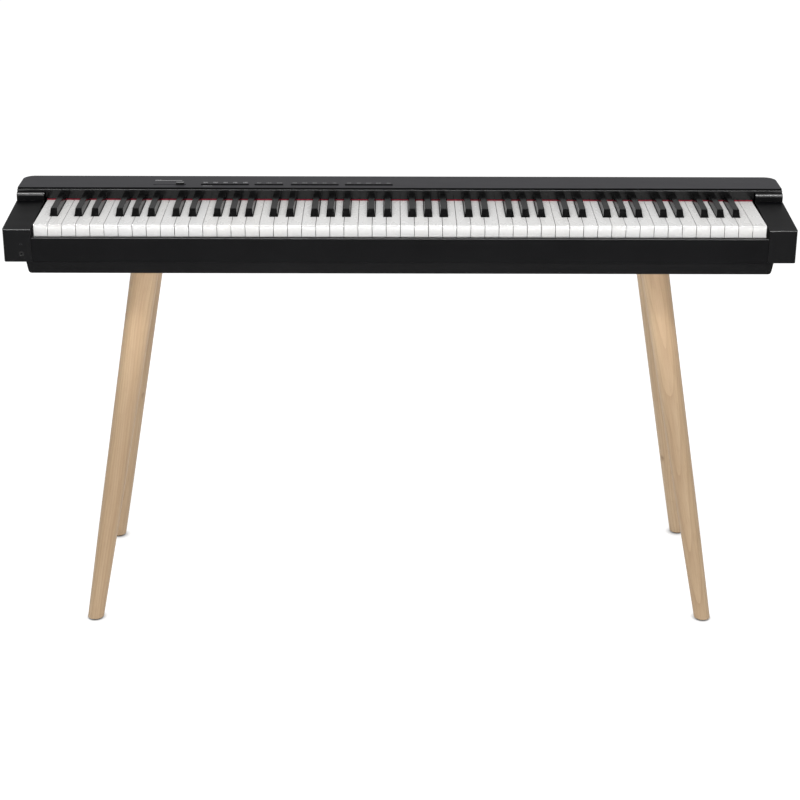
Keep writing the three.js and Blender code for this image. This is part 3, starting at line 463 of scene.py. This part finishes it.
def turned(bm, rings, place, sides=24, lobed=0):
    """Adds a closed turned shape. rings are (radius, height) pairs; the first lobed ones are star-shaped."""
    loops = []
    for number, (radius, height) in enumerate(rings):
        loop = []
        for side in range(sides):
            turn = math.tau * side / sides
            wave = 1 + 0.16 * math.cos(6 * turn) if number < lobed else 1
            point = Vector((radius * wave * math.cos(turn), radius * wave * math.sin(turn), height))
            loop.append(bm.verts.new(place @ point))
        loops.append(loop)
    faces = [bm.faces.new(loops[0]), bm.faces.new(loops[-1])]
    for inner, outer in zip(loops, loops[1:]):
        for side in range(sides):
            after = (side + 1) % sides
            faces.append(bm.faces.new((inner[side], outer[side], outer[after], inner[after])))
    bmesh.ops.recalc_face_normals(bm, faces=faces)


def slice_at(bm, point, normal):
    """Cuts new edges into the mesh where a plane crosses it."""
    geometry = list(bm.verts) + list(bm.edges) + list(bm.faces)
    bmesh.ops.bisect_plane(bm, geom=geometry, plane_co=point, plane_no=normal, dist=1e-7)


def simplify(bm):
    """Joins faces that lie in one plane."""
    bmesh.ops.remove_doubles(bm, verts=bm.verts, dist=2e-6)
    bmesh.ops.dissolve_limit(bm, angle_limit=math.radians(0.6), verts=bm.verts, edges=bm.edges)


def round_edges(bm, width, segments=3, wanted=None):
    """Rounds every sharp edge, or only those that are wanted."""
    edges = [
        edge for edge in bm.edges
        if len(edge.link_faces) == 2 and edge.calc_face_angle() > CREASE and (wanted is None or wanted(edge))
    ]
    bmesh.ops.bevel(bm, geom=edges, offset=width, offset_type="OFFSET", segments=segments, profile=0.5,
                    affect="EDGES", clamp_overlap=True)


def mark_rounded_faces(bm):
    """Gives the narrow faces of upper rounded edges the value 1 in the face attribute edge, where moulded
    plastics paint a highlight.
    """
    edge_layer = bm.faces.layers.float.new("edge")
    bm.normal_update()
    for face in bm.faces:
        width = face.calc_area() / max(edge.calc_length() for edge in face.edges)
        curved = any(
            len(edge.link_faces) == 2 and edge.is_convex
            and math.radians(4) < edge.calc_face_angle() < CREASE
            for edge in face.edges
        )
        # only faces turned upwards, where the painted highlight falls
        face[edge_layer] = float(curved and width < 2.5 * MM and face.normal.z > 0.2)


def finish_piece(name, bm, node, material=None, slot=None, attributes=None):
    """Makes a visible piece from bm, which rides with node's body. Its finish is its node's, or slot's."""
    slot = slot or NODE_SLOT[node]
    mark_rounded_faces(bm)
    mesh = bpy.data.meshes.new(name)
    bm.to_mesh(mesh)
    bm.free()
    mesh.shade_smooth()
    mesh.set_sharp_from_angle(angle=CREASE)
    for attribute_name, values in (attributes or {}).items():
        attribute = mesh.attributes.new(attribute_name, "FLOAT", "POINT")
        if not hasattr(values, "__len__"):
            values = [values] * len(mesh.vertices)
        attribute.data.foreach_set("value", values)
    mesh.materials.append(material or LOOKS[slot])
    piece = bpy.data.objects.new(name, mesh)
    bpy.context.scene.collection.objects.link(piece)
    piece.modifiers.new("weighted_normals", "WEIGHTED_NORMAL").keep_sharp = True
    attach(piece, NODE_BODY[node])
    return piece


def refined(node, width, material=None, wanted=None, sharpen=None):
    """A copy of a CAD node with its flat faces joined up and its edges rounded. It replaces the node."""
    bm = bmesh.new()
    bm.from_mesh(frame["nodes"][node].data)
    if sharpen:
        sharpen(bm)
    simplify(bm)
    round_edges(bm, width, wanted=wanted)
    piece = finish_piece(f"{node}_finished", bm, node, material)
    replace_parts(piece, node)
    return piece


# ---------------------------------------------------------------------------------------------------
# Keys
# ---------------------------------------------------------------------------------------------------

KEY_COUNT = 88
KEY_PITCH = 23.5 * MM
KEY_GAP = 0.9 * MM
HEAD_LENGTH = 48 * MM
APRON_DEPTH = 5 * MM
LIP_THICKNESS = 2.3 * MM        # the top plate stands a little proud of the front face
LIP_OVERHANG = 0.4 * MM
FOOT_HEIGHT = 4.2 * MM          # the bottom of the front face stands forward again
WHITE_DEPTH = 12 * MM           # from the top of a key to the underside behind its apron
WHITE_BACK_DEPTH = 8 * MM       # the same where it crosses the chassis
WHITE_BACK_LENGTH = 16 * MM
LUG_LENGTH = 10 * MM            # the part at the back that sits on the pivot
WHITE_EDGE = 0.55 * MM
BLACK_TOP_WIDTH = 10.4 * MM
BLACK_TAIL_WIDTH = 9.5 * MM
BLACK_NOSE = 8 * MM             # how far back the sloping front reaches
BLACK_EDGE = 0.5 * MM
BLACK_IN_OCTAVE = (1, 4, 6, 9, 11)
OFFSET_FROM_GAP = {1: 3.2 * MM, 4: -2.2 * MM, 6: 2.2 * MM, 9: -3.2 * MM, 11: 0}
NOTE_NAMES = ("a", "a_sharp_", "b", "c", "c_sharp_", "d", "d_sharp_", "e", "f", "f_sharp_", "g", "g_sharp_")
REGISTERS = (("a0_b1", 0, 14), ("c2_b2", 15, 26), ("c3_b3", 27, 38),
             ("c5_b5", 51, 62), ("c6_b6", 63, 74), ("c7_c8", 75, 87))

WHITE_LOW, WHITE_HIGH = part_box("white_key_c4")
BLACK_LOW, BLACK_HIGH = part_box("black_key_c_sharp_4")
KEYBOARD_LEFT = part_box("white_keys_a0_b1")[0].x - KEY_GAP / 2
KEY_TOP = WHITE_HIGH.z
KEY_FRONT = WHITE_LOW.y
BLACK_BASE_WIDTH = BLACK_HIGH.x - BLACK_LOW.x
PIVOT_BOTTOM = BLACK_LOW.z


def is_black(key):
    return key % 12 in BLACK_IN_OCTAVE


def note_name(key):
    """Such as c4 or f_sharp_4: an octave's number changes at C, the fourth name in NOTE_NAMES."""
    return f"{NOTE_NAMES[key % 12]}{(key + 9) // 12}"


def key_node(key):
    """The CAD node that holds a key: its own in the middle octave, its register's elsewhere."""
    colour = "black" if is_black(key) else "white"
    for register, first, last in REGISTERS:
        if first <= key <= last:
            return f"{colour}_keys_{register}"
    return f"{colour}_key_{note_name(key)}"


def white_left(key):
    return KEYBOARD_LEFT + KEY_PITCH * sum(not is_black(lower) for lower in range(key))


def black_centre(key):
    return white_left(key) + OFFSET_FROM_GAP[key % 12]


def stepped_underside(y, steps):
    """The height of a key's underside at y. steps are (y, height) pairs, straight between them."""
    for (y0, z0), (y1, z1) in zip(steps, steps[1:]):
        if y <= y1 + 1e-7:
            return z0 + (z1 - z0) * max(0, y - y0) / (y1 - y0)
    return steps[-1][1]


def white_key_outline(key):
    """A white key from above: a full-width head, and a tail that makes room for the black keys beside it."""
    left = white_left(key) + KEY_GAP / 2
    right = white_left(key) + KEY_PITCH - KEY_GAP / 2
    beside_black = BLACK_BASE_WIDTH / 2 + KEY_GAP
    head_back = KEY_FRONT + HEAD_LENGTH - KEY_GAP
    back = WHITE_HIGH.y
    outline = [(left, KEY_FRONT), (right, KEY_FRONT)]
    tail_left, tail_right = left, right
    if key + 1 < KEY_COUNT and is_black(key + 1):
        tail_right = black_centre(key + 1) - beside_black
        outline += [(right, head_back), (tail_right, head_back)]
    if key > 0 and is_black(key - 1):
        tail_left = black_centre(key - 1) + beside_black
    outline += [(tail_right, back), (tail_left, back)]
    if tail_left > left:
        outline += [(tail_left, head_back), (left, head_back)]
    return outline


def white_key(key, tone):
    """One white key: a flat top with a lip at its front edge, on a body with a stepped underside."""
    bottom = WHITE_LOW.z
    body_bottom = KEY_TOP - WHITE_DEPTH
    crossing = KEY_TOP - WHITE_BACK_DEPTH
    lug_front = WHITE_HIGH.y - LUG_LENGTH
    crossing_front = lug_front - WHITE_BACK_LENGTH
    step = 0.8 * MM
    steps = [
        (KEY_FRONT, bottom), (KEY_FRONT + APRON_DEPTH - step, bottom), (KEY_FRONT + APRON_DEPTH, body_bottom),
        (crossing_front, body_bottom), (crossing_front + step, crossing),
        (lug_front - step, crossing), (lug_front, PIVOT_BOTTOM), (WHITE_HIGH.y, PIVOT_BOTTOM),
    ]
    bm = prism(white_key_outline(key), bottom, KEY_TOP)
    for y, _ in steps[1:-1]:
        slice_at(bm, (0, y, 0), (0, 1, 0))
    for vertex in bm.verts:
        if vertex.co.z < KEY_TOP - MM:
            vertex.co.z = stepped_underside(vertex.co.y, steps)
    lip_bottom = KEY_TOP - LIP_THICKNESS
    foot_top = bottom + FOOT_HEIGHT
    for height in (lip_bottom, lip_bottom - LIP_OVERHANG, foot_top + LIP_OVERHANG, foot_top):
        slice_at(bm, (0, 0, height), (0, 0, 1))
    for vertex in bm.verts:
        if vertex.co.y < KEY_FRONT + 1e-6 and foot_top + 1e-6 < vertex.co.z < lip_bottom - 1e-6:
            vertex.co.y += LIP_OVERHANG
    simplify(bm)
    round_edges(bm, WHITE_EDGE)
    piece = finish_piece(f"white_{note_name(key)}", bm, key_node(key), attributes={"tone": tone})
    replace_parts(piece, key_node(key))


def black_key(key, tone):
    """One black key: a cap that narrows towards its top, and a low tail that runs under the fallboard."""
    cap_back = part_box("fallboard")[0].y + 1.7 * MM
    front = BLACK_LOW.y
    cap_bottom = KEY_TOP - WHITE_DEPTH
    back = BLACK_HIGH.y
    lug_front = back - LUG_LENGTH
    profile = [
        (front, cap_bottom), (front, KEY_TOP + 0.5 * MM), (front + BLACK_NOSE, BLACK_HIGH.z),
        (cap_back, BLACK_HIGH.z), (cap_back, KEY_TOP), (back, KEY_TOP), (back, PIVOT_BOTTOM),
        (lug_front, PIVOT_BOTTOM), (lug_front, cap_bottom),
    ]
    centre = black_centre(key)
    bm = prism(profile, centre - 1, centre + 1, "yz")
    slice_at(bm, (0, 0, KEY_TOP), (0, 0, 1))
    slice_at(bm, (0, cap_back, 0), (0, 1, 0))
    for vertex in bm.verts:
        side = math.copysign(1, vertex.co.x - centre)
        if vertex.co.y > cap_back + 1e-6:
            half = BLACK_TAIL_WIDTH / 2
        elif vertex.co.z > KEY_TOP + 2 * MM:
            half = BLACK_TOP_WIDTH / 2
        else:
            half = BLACK_BASE_WIDTH / 2
        vertex.co.x = centre + side * half
    simplify(bm)
    cap_edges = KEY_TOP + 0.4 * MM
    round_edges(bm, BLACK_EDGE, wanted=lambda edge: max(v.co.z for v in edge.verts) > cap_edges)
    piece = finish_piece(f"black_{note_name(key)}", bm, key_node(key), attributes={"tone": tone})
    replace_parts(piece, key_node(key))


def make_keys():
    tones = random.Random(88)
    for key in range(KEY_COUNT):
        tone = tones.random()
        if is_black(key):
            black_key(key, tone)
        else:
            white_key(key, tone)


# ---------------------------------------------------------------------------------------------------
# Legs
# ---------------------------------------------------------------------------------------------------

CORNERS = ("front_left", "front_right", "rear_left", "rear_right")
LEG_LENGTH = 640 * MM
LEG_TOP_RADIUS = 24 * MM
LEG_KNEE_RADIUS = 16.5 * MM
LEG_KNEE_HEIGHT = 140 * MM     # from the foot along the leg, where its taper changes
LEG_FOOT_RADIUS = 13.8 * MM
BRACKET_ROOM = 15 * MM         # the leg ends this far short of the case, under its bracket
FOOT_EDGE = 3.0 * MM
KNOTS = {                      # height up the leg, turn around it and size of each knot in the wood
    "front_left": ((300 * MM, 262, 7 * MM), (262 * MM, 292, 4 * MM)),
    "rear_right": ((185 * MM, 255, 4 * MM), (430 * MM, 200, 5 * MM)),
    "rear_left": ((330 * MM, 280, 3.5 * MM),),
    "front_right": ((90 * MM, 240, 4.5 * MM),),
}


def leg_ends(corner):
    """Where a leg's axis meets the case and the floor: it passes through its bracket and its glide."""
    bracket_low, bracket_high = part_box(f"leg_bracket_{corner}")
    glide_low, glide_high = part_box(f"leg_glide_{corner}")
    top = (bracket_low + bracket_high) / 2
    top.z = bracket_high.z
    foot = (glide_low + glide_high) / 2
    foot.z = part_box(f"leg_{corner}")[0].z
    return top, top + (foot - top) * top.z / (top.z - foot.z)


def leg_radius(height):
    """The leg tapers slowly down to its knee and faster from there to its foot."""
    if height < LEG_KNEE_HEIGHT:
        share = height / LEG_KNEE_HEIGHT
        return LEG_FOOT_RADIUS + (LEG_KNEE_RADIUS - LEG_FOOT_RADIUS) * share
    share = (height - LEG_KNEE_HEIGHT) / (LEG_LENGTH - LEG_KNEE_HEIGHT)
    return LEG_KNEE_RADIUS + (LEG_TOP_RADIUS - LEG_KNEE_RADIUS) * share


def turned_post(length, sides=64, ring_step=9 * MM):
    """A closed tapered post standing on its own axis, from a little below its foot to its top."""
    bm = bmesh.new()
    low, high = -20 * MM, length - BRACKET_ROOM
    rings = round((high - low) / ring_step)
    loops = []
    for ring in range(rings + 1):
        height = low + (high - low) * ring / rings
        radius = leg_radius(max(height, 0))
        turns = [math.tau * s / sides for s in range(sides)]
        loops.append([
            bm.verts.new((radius * math.cos(turn), radius * math.sin(turn), height)) for turn in turns
        ])
    for lower, upper in zip(loops, loops[1:]):
        for s in range(sides):
            after = (s + 1) % sides
            bm.faces.new((lower[s], lower[after], upper[after], upper[s]))
    bm.faces.new(list(reversed(loops[0])))
    bm.faces.new(loops[-1])
    return bm


def cut_level(bm, point, normal):
    """Cuts the post off below a plane, closes it and rounds the new edge."""
    geometry = list(bm.verts) + list(bm.edges) + list(bm.faces)
    cut = bmesh.ops.bisect_plane(bm, geom=geometry, plane_co=point, plane_no=normal, clear_inner=True)
    rim = [item for item in cut["geom_cut"] if isinstance(item, bmesh.types.BMEdge)]
    bmesh.ops.contextual_create(bm, geom=rim)
    bmesh.ops.recalc_face_normals(bm, faces=bm.faces)
    bmesh.ops.remove_doubles(bm, verts=bm.verts, dist=2e-5)
    rim = [e for e in bm.edges if len(e.link_faces) == 2 and e.calc_face_angle() > math.radians(50)]
    bmesh.ops.bevel(bm, geom=rim, offset=FOOT_EDGE, offset_type="OFFSET", segments=5, profile=0.5,
                    affect="EDGES", clamp_overlap=True)


def knot_shade(point, knots):
    """0 to 1: how far into one of the knots a point on the leg lies."""
    shade = 0
    for height, turn, size in knots:
        radius = leg_radius(height)
        around = math.radians(turn)
        middle = Vector((radius * math.cos(around), radius * math.sin(around), height))
        offset = point - middle
        distance = math.hypot(offset.x, offset.y, offset.z * 0.7)
        shade = max(shade, 1 - distance / (2 * size))
    return shade


def leg(corner, tone):
    node = f"leg_{corner}"
    top, foot = leg_ends(corner)
    axis = top - foot
    place = Matrix.Translation(foot) @ axis.to_track_quat("Z", "Y").to_matrix().to_4x4()
    into_leg = place.inverted()
    bm = turned_post(axis.length)
    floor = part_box(node)[0].z
    cut_level(bm, into_leg @ Vector((foot.x, foot.y, floor)), into_leg.to_3x3() @ Vector((0, 0, 1)))
    shades = [knot_shade(vertex.co, KNOTS[corner]) for vertex in bm.verts]
    upright = [number for vertex in bm.verts for number in vertex.co]
    bm.transform(place)
    piece = finish_piece(f"{node}_finished", bm, node, attributes={"tone": tone, "knot": shades})
    piece.data.attributes.new("own", "FLOAT_VECTOR", "POINT").data.foreach_set("vector", upright)
    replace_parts(piece, node)


# ---------------------------------------------------------------------------------------------------
# Case and its details
# ---------------------------------------------------------------------------------------------------

CASE_LOW, CASE_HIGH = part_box("lower_case")
PANEL_LOW, PANEL_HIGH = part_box("top_panel")
PANEL_TOP = PANEL_HIGH.z
USUAL_EDGE = 0.35 * MM         # how much edges are rounded
PAN_EDGE = 1.8 * MM
BLOCK_EDGE = 0.9 * MM
FALLBOARD_EDGE = 0.3 * MM
SHOULDER_FOOT = (28 * MM, 703 * MM)      # y and z of the line where the shoulder meets the cheek
SHOULDER_FILLET = 3.05 * MM
BUTTON_COUNTS = {"button_strip_1": 5, "button_strip_2": 3, "button_strip_3": 5, "button_strip_4": 5}
BUTTON_SLIT = 0.45 * MM        # between neighbouring caps, and its depth
BUTTON_SLIT_DEPTH = 2.5 * MM
BUTTON_FLANGE = 2 * MM
BUTTON_FLANGE_TOP = PANEL_TOP - 3.3 * MM
KNOB_GAP = 0.3 * MM            # between the knob and the panel
KNOB_TAPER = 1.6 * MM
KNOB_GROOVES = 5
KNOB_GROOVE = 1.1 * MM
KNOB_STEM = 1.2 * MM           # half the stem's width
PRINT = 0.06 * MM              # thickness of printed marks
LINE = 2 * MM                  # width of a printed line


def make_case():
    """The plain parts of the case: everything without a shape of its own further down."""
    shaped_slots = ("white_key", "black_key", "leg_wood", "button", "slider")
    shaped = ("lower_case", "top_panel", "fallboard", "end_block_left", "end_block_right")
    for node, slot in NODE_SLOT.items():
        if slot not in shaped_slots and node not in shaped:
            refined(node, USUAL_EDGE)
    refined("fallboard", FALLBOARD_EDGE, GLOSS)
    below = CASE_LOW.z + 8 * MM
    refined("lower_case", PAN_EDGE, UNPOLISHED, wanted=lambda edge: max(v.co.z for v in edge.verts) < below)
    for node in ("end_block_left", "end_block_right"):
        refined(node, BLOCK_EDGE, BLOCK, sharpen=sharp_cheek_corner)


def sharp_cheek_corner(bm):
    """Closes up the small fillet where the shoulder stands on the cheek, so that it makes a dark line."""
    for vertex in bm.verts:
        out_y, out_z = SHOULDER_FOOT[0] - vertex.co.y, vertex.co.z - SHOULDER_FOOT[1]
        if -0.01 * MM < out_y < SHOULDER_FILLET and -0.01 * MM < out_z < SHOULDER_FILLET:
            vertex.co.y, vertex.co.z = SHOULDER_FOOT


def repaint(piece, material, wanted):
    """Gives some of a piece's faces a second material."""
    piece.data.materials.append(material)
    for face in piece.data.polygons:
        if wanted(face):
            face.material_index = 1


def top_panel():
    """The panel's front edge gets the dark pan plastic, as painted shade in the groove above the fallboard.
    """
    front = PANEL_LOW.y + MM
    panel = refined("top_panel", FALLBOARD_EDGE)
    # painted shade: the front edge faces get the near-black pan plastic
    repaint(panel, UNPOLISHED, lambda face: face.center.y < front and face.normal.y < -0.5)


def button_row(node, count):
    """A row of push buttons: caps with slits between them on one flanged body."""
    low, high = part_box(node)
    left, right = low.x + BUTTON_FLANGE, high.x - BUTTON_FLANGE
    front, back = low.y + BUTTON_FLANGE, high.y - BUTTON_FLANGE
    pitch = (right - left) / count
    outline = [(left, low.z), (right, low.z), (right, high.z)]
    for button in range(count - 1, 0, -1):
        middle = left + button * pitch
        outline += [
            (middle + BUTTON_SLIT / 2, high.z), (middle + BUTTON_SLIT / 2, high.z - BUTTON_SLIT_DEPTH),
            (middle - BUTTON_SLIT / 2, high.z - BUTTON_SLIT_DEPTH), (middle - BUTTON_SLIT / 2, high.z),
        ]
    outline.append((left, high.z))
    bm = prism(outline, front, back, "xz")
    block(bm, (low.x, low.y, BUTTON_FLANGE_TOP - BUTTON_FLANGE), (high.x, high.y, BUTTON_FLANGE_TOP))
    round_edges(bm, 0.2 * MM)
    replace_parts(finish_piece(f"{node}_caps", bm, node), node)


def slider_cap():
    """The volume knob: a tapered cap with grooves across its top, on a thin stem. Its upward faces get a
    lighter grey as a painted sheen.
    """
    node = "volume_slider_cap"
    low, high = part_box(node)
    middle = (low + high) / 2
    base = PANEL_TOP + KNOB_GAP
    half = KNOB_GROOVE / 2
    outline = [(low.x, base), (high.x, base), (high.x, high.z)]
    for number in range(KNOB_GROOVES):
        x = middle.x + ((KNOB_GROOVES - 1) / 2 - number) * 2 * KNOB_GROOVE
        outline += [(x + half, high.z), (x, high.z - half), (x - half, high.z)]
    outline.append((low.x, high.z))
    bm = prism(outline, low.y, high.y, "xz")
    for vertex in bm.verts:
        inward = KNOB_TAPER * (vertex.co.z - base) / (high.z - base)
        vertex.co.y += inward if vertex.co.y < middle.y else -inward
    round_edges(bm, 0.3 * MM)
    stem_top = base + KNOB_STEM
    block(bm, (middle.x - KNOB_STEM, middle.y - KNOB_STEM, low.z),
          (middle.x + KNOB_STEM, middle.y + KNOB_STEM, stem_top))
    knob = finish_piece("volume_knob", bm, node)
    # painted sheen: the knob's upward faces get a lighter grey plastic
    repaint(knob, KNOB_PAINTED_SHEEN, lambda face: face.center.z > stem_top and face.normal.z > 0.5)
    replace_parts(knob, node)


def dashes(bm, left, right, y, height, generator):
    """A line of small printed strokes of uneven length, where the real panel has lettering."""
    x = left
    while x < right - MM:
        end = min(x + generator.uniform(1.0, 2.6) * MM, right)
        block(bm, (x, y - height / 2, PANEL_TOP), (end, y + height / 2, PANEL_TOP + PRINT))
        x = end + 0.6 * MM


def panel_print():
    """The marks around the controls: a scale for the volume and a small label for each button."""
    generator = random.Random(7)
    track_low, track_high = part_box("volume_slider_housing")
    scale_y = track_high.y + 20.5 * MM
    left, right = track_low.x + 7 * MM, track_high.x - 15 * MM
    bm = bmesh.new()
    block(bm, (left, scale_y - LINE / 2, PANEL_TOP), (right, scale_y + LINE / 2, PANEL_TOP + PRINT))
    dashes(bm, left, left + 10 * MM, scale_y + 3.2 * MM, 1.7 * MM, generator)
    for node, count in BUTTON_COUNTS.items():
        low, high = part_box(node)
        pitch = (high.x - low.x) / count
        lines = 2 if node == "button_strip_1" else 1
        for button, line in itertools.product(range(count), range(lines)):
            centre = low.x + (button + 0.5) * pitch
            length = generator.uniform(6, 10) * MM
            y = high.y + (6.6 + 3.4 * line) * MM
            dashes(bm, centre - length / 2, centre + length / 2, y, 2 * MM, generator)
    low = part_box("button_strip_1")[0]
    dashes(bm, low.x + 6 * MM, low.x + 22 * MM, low.y - 3.5 * MM, 1.5 * MM, generator)
    finish_piece("panel_print", bm, "top_panel", INK)


def headphone_mark():
    """A small arch with two ends, printed above the headphone socket."""
    low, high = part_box("headphone_socket")
    x, z = (low.x + high.x) / 2, high.z + 13 * MM
    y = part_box("end_block_left")[0].y
    outer, inner, steps = 1.9 * MM, 1.5 * MM, 12
    arch = [(math.pi * step / steps, radius) for radius, order in ((outer, 1), (inner, -1))
            for step in range(steps + 1)[::order]]
    outline = [(x + radius * math.cos(turn), z + radius * math.sin(turn)) for turn, radius in arch]
    bm = prism(outline, y - PRINT, y, "xz")
    for side in (-1, 1):
        centre = x + side * (outer - 0.4 * MM)
        block(bm, (centre - 0.5 * MM, y - PRINT, z - 1.6 * MM), (centre + 0.5 * MM, y, z - 0.2 * MM))
    finish_piece("headphone_mark", bm, "end_block_left", FAINT_INK)


def screws(name, node, seats, facing, radius=3.2 * MM):
    """Domed screw heads with star recesses, on seats facing along one vector."""
    rise = 0.38 * radius
    rings = ((0.40 * radius, 0.35 * rise), (0.42 * radius, rise), (0.72 * radius, 0.96 * rise),
             (0.94 * radius, 0.6 * rise), (radius, 0))
    turn = Vector(facing).to_track_quat("Z", "Y").to_matrix().to_4x4()
    bm = bmesh.new()
    for seat in seats:
        turned(bm, rings, Matrix.Translation(seat) @ turn, sides=36, lobed=2)
    finish_piece(name, bm, node, STEEL, slot="bracket")


def all_screws():
    for corner in CORNERS:
        low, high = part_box(f"leg_bracket_{corner}")
        centre, inset = (low + high) / 2, 9 * MM
        plate = CASE_LOW.z - 4.3 * MM
        reach = (high.x - low.x) / 2 - inset
        seats = [(centre.x + a * reach, centre.y + b * reach, plate) for a in (-1, 1) for b in (-1, 1)]
        screws(f"bracket_screws_{corner}", f"leg_bracket_{corner}", seats, (0, 0, -1), 4 * MM)
    spread = (-0.58, -0.36, -0.12, 0.12, 0.36, 0.58)
    seats = [(x, y, CASE_LOW.z) for x in spread for y in (CASE_LOW.y + 12 * MM, CASE_HIGH.y - 12 * MM)]
    screws("underside_screws", "lower_case", seats, (0, 0, -1))
    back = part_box("back_panel")[1]
    seats = [(x, back.y, back.z - 14 * MM) for x in spread]
    screws("back_screws", "back_panel", seats, (0, 1, 0))


def speaker_cloths():
    for node in ("speaker_left", "speaker_right"):
        low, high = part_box(node)
        bm = bmesh.new()
        block(bm, (low.x + MM, low.y + MM, low.z - 0.28 * MM), (high.x - MM, high.y - MM, low.z - 0.03 * MM))
        round_edges(bm, 14 * MM, segments=8, wanted=lambda edge: edge.verts[0].co.xy == edge.verts[1].co.xy)
        finish_piece(f"{node}_cloth", bm, "lower_case", WEAVE, slot="speaker")


def rating_label():
    """A pale plate with rows of strokes under the case, where the real one gives its ratings."""
    width, depth, thickness, centre_y = 74 * MM, 34 * MM, 0.2 * MM, 30 * MM
    bottom = CASE_LOW.z - thickness
    bm = bmesh.new()
    block(bm, (-width / 2, centre_y - depth / 2, bottom), (width / 2, centre_y + depth / 2, CASE_LOW.z))
    round_edges(bm, 3 * MM, wanted=lambda edge: edge.verts[0].co.xy == edge.verts[1].co.xy)
    finish_piece("rating_label", bm, "lower_case", INK)
    generator = random.Random(3)
    strokes = bmesh.new()
    for row in range(5):
        y, x = centre_y + (row - 2) * 5.5 * MM, -width / 2 + 5 * MM
        while x < width / 2 - 8 * MM:
            end = x + generator.uniform(2, 7) * MM
            block(strokes, (x, y - 0.8 * MM, bottom - PRINT), (end, y + 0.8 * MM, bottom))
            x = end + 1.2 * MM
    finish_piece("rating_strokes", strokes, "lower_case")


def contact_domes():
    """A rubber dome on the sensor board under each key."""
    low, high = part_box("sensor_board")
    bm = bmesh.new()
    rings = ((1.6 * MM, 8 * MM), (2.2 * MM, 7.6 * MM), (2.5 * MM, 5 * MM), (4 * MM, 1.4 * MM), (4.8 * MM, 0))
    for key in range(KEY_COUNT):
        x = black_centre(key) if is_black(key) else white_left(key) + KEY_PITCH / 2
        y = low.y + (28 if is_black(key) else 14) * MM
        turned(bm, rings, Matrix.Translation((x, y, high.z)), sides=16)
    finish_piece("contact_domes", bm, "sensor_board", slot="glide")


def board_parts():
    """Chips and capacitors on the main board, behind the controls."""
    low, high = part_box("main_board")
    generator = random.Random(12)
    chips, cans = bmesh.new(), bmesh.new()
    x = low.x + 20 * MM
    while x < high.x - 30 * MM:
        length = generator.uniform(8, 20) * MM
        y = high.y - 14 * MM
        block(chips, (x, y - 5 * MM, high.z), (x + length, y + 4 * MM, high.z + 1.8 * MM))
        can = Matrix.Translation((x + length + 7 * MM, y, high.z))
        turned(cans, ((2.4 * MM, 6.5 * MM), (2.9 * MM, 6.2 * MM), (3.1 * MM, 5.6 * MM), (3.1 * MM, 0)), can)
        x += length + 18 * MM
    round_edges(chips, 0.2 * MM)
    finish_piece("main_board_chips", chips, "main_board", slot="socket")
    finish_piece("main_board_capacitors", cans, "main_board", STEEL)


make_camera()
make_lights()
make_floor(studio_floor())
make_keys()
for number, corner in enumerate(CORNERS):
    leg(corner, 0.17 + 0.23 * number)
make_case()
top_panel()
for node, count in BUTTON_COUNTS.items():
    button_row(node, count)
slider_cap()
panel_print()
headphone_mark()
all_screws()
speaker_cloths()
rating_label()
contact_domes()
board_parts()
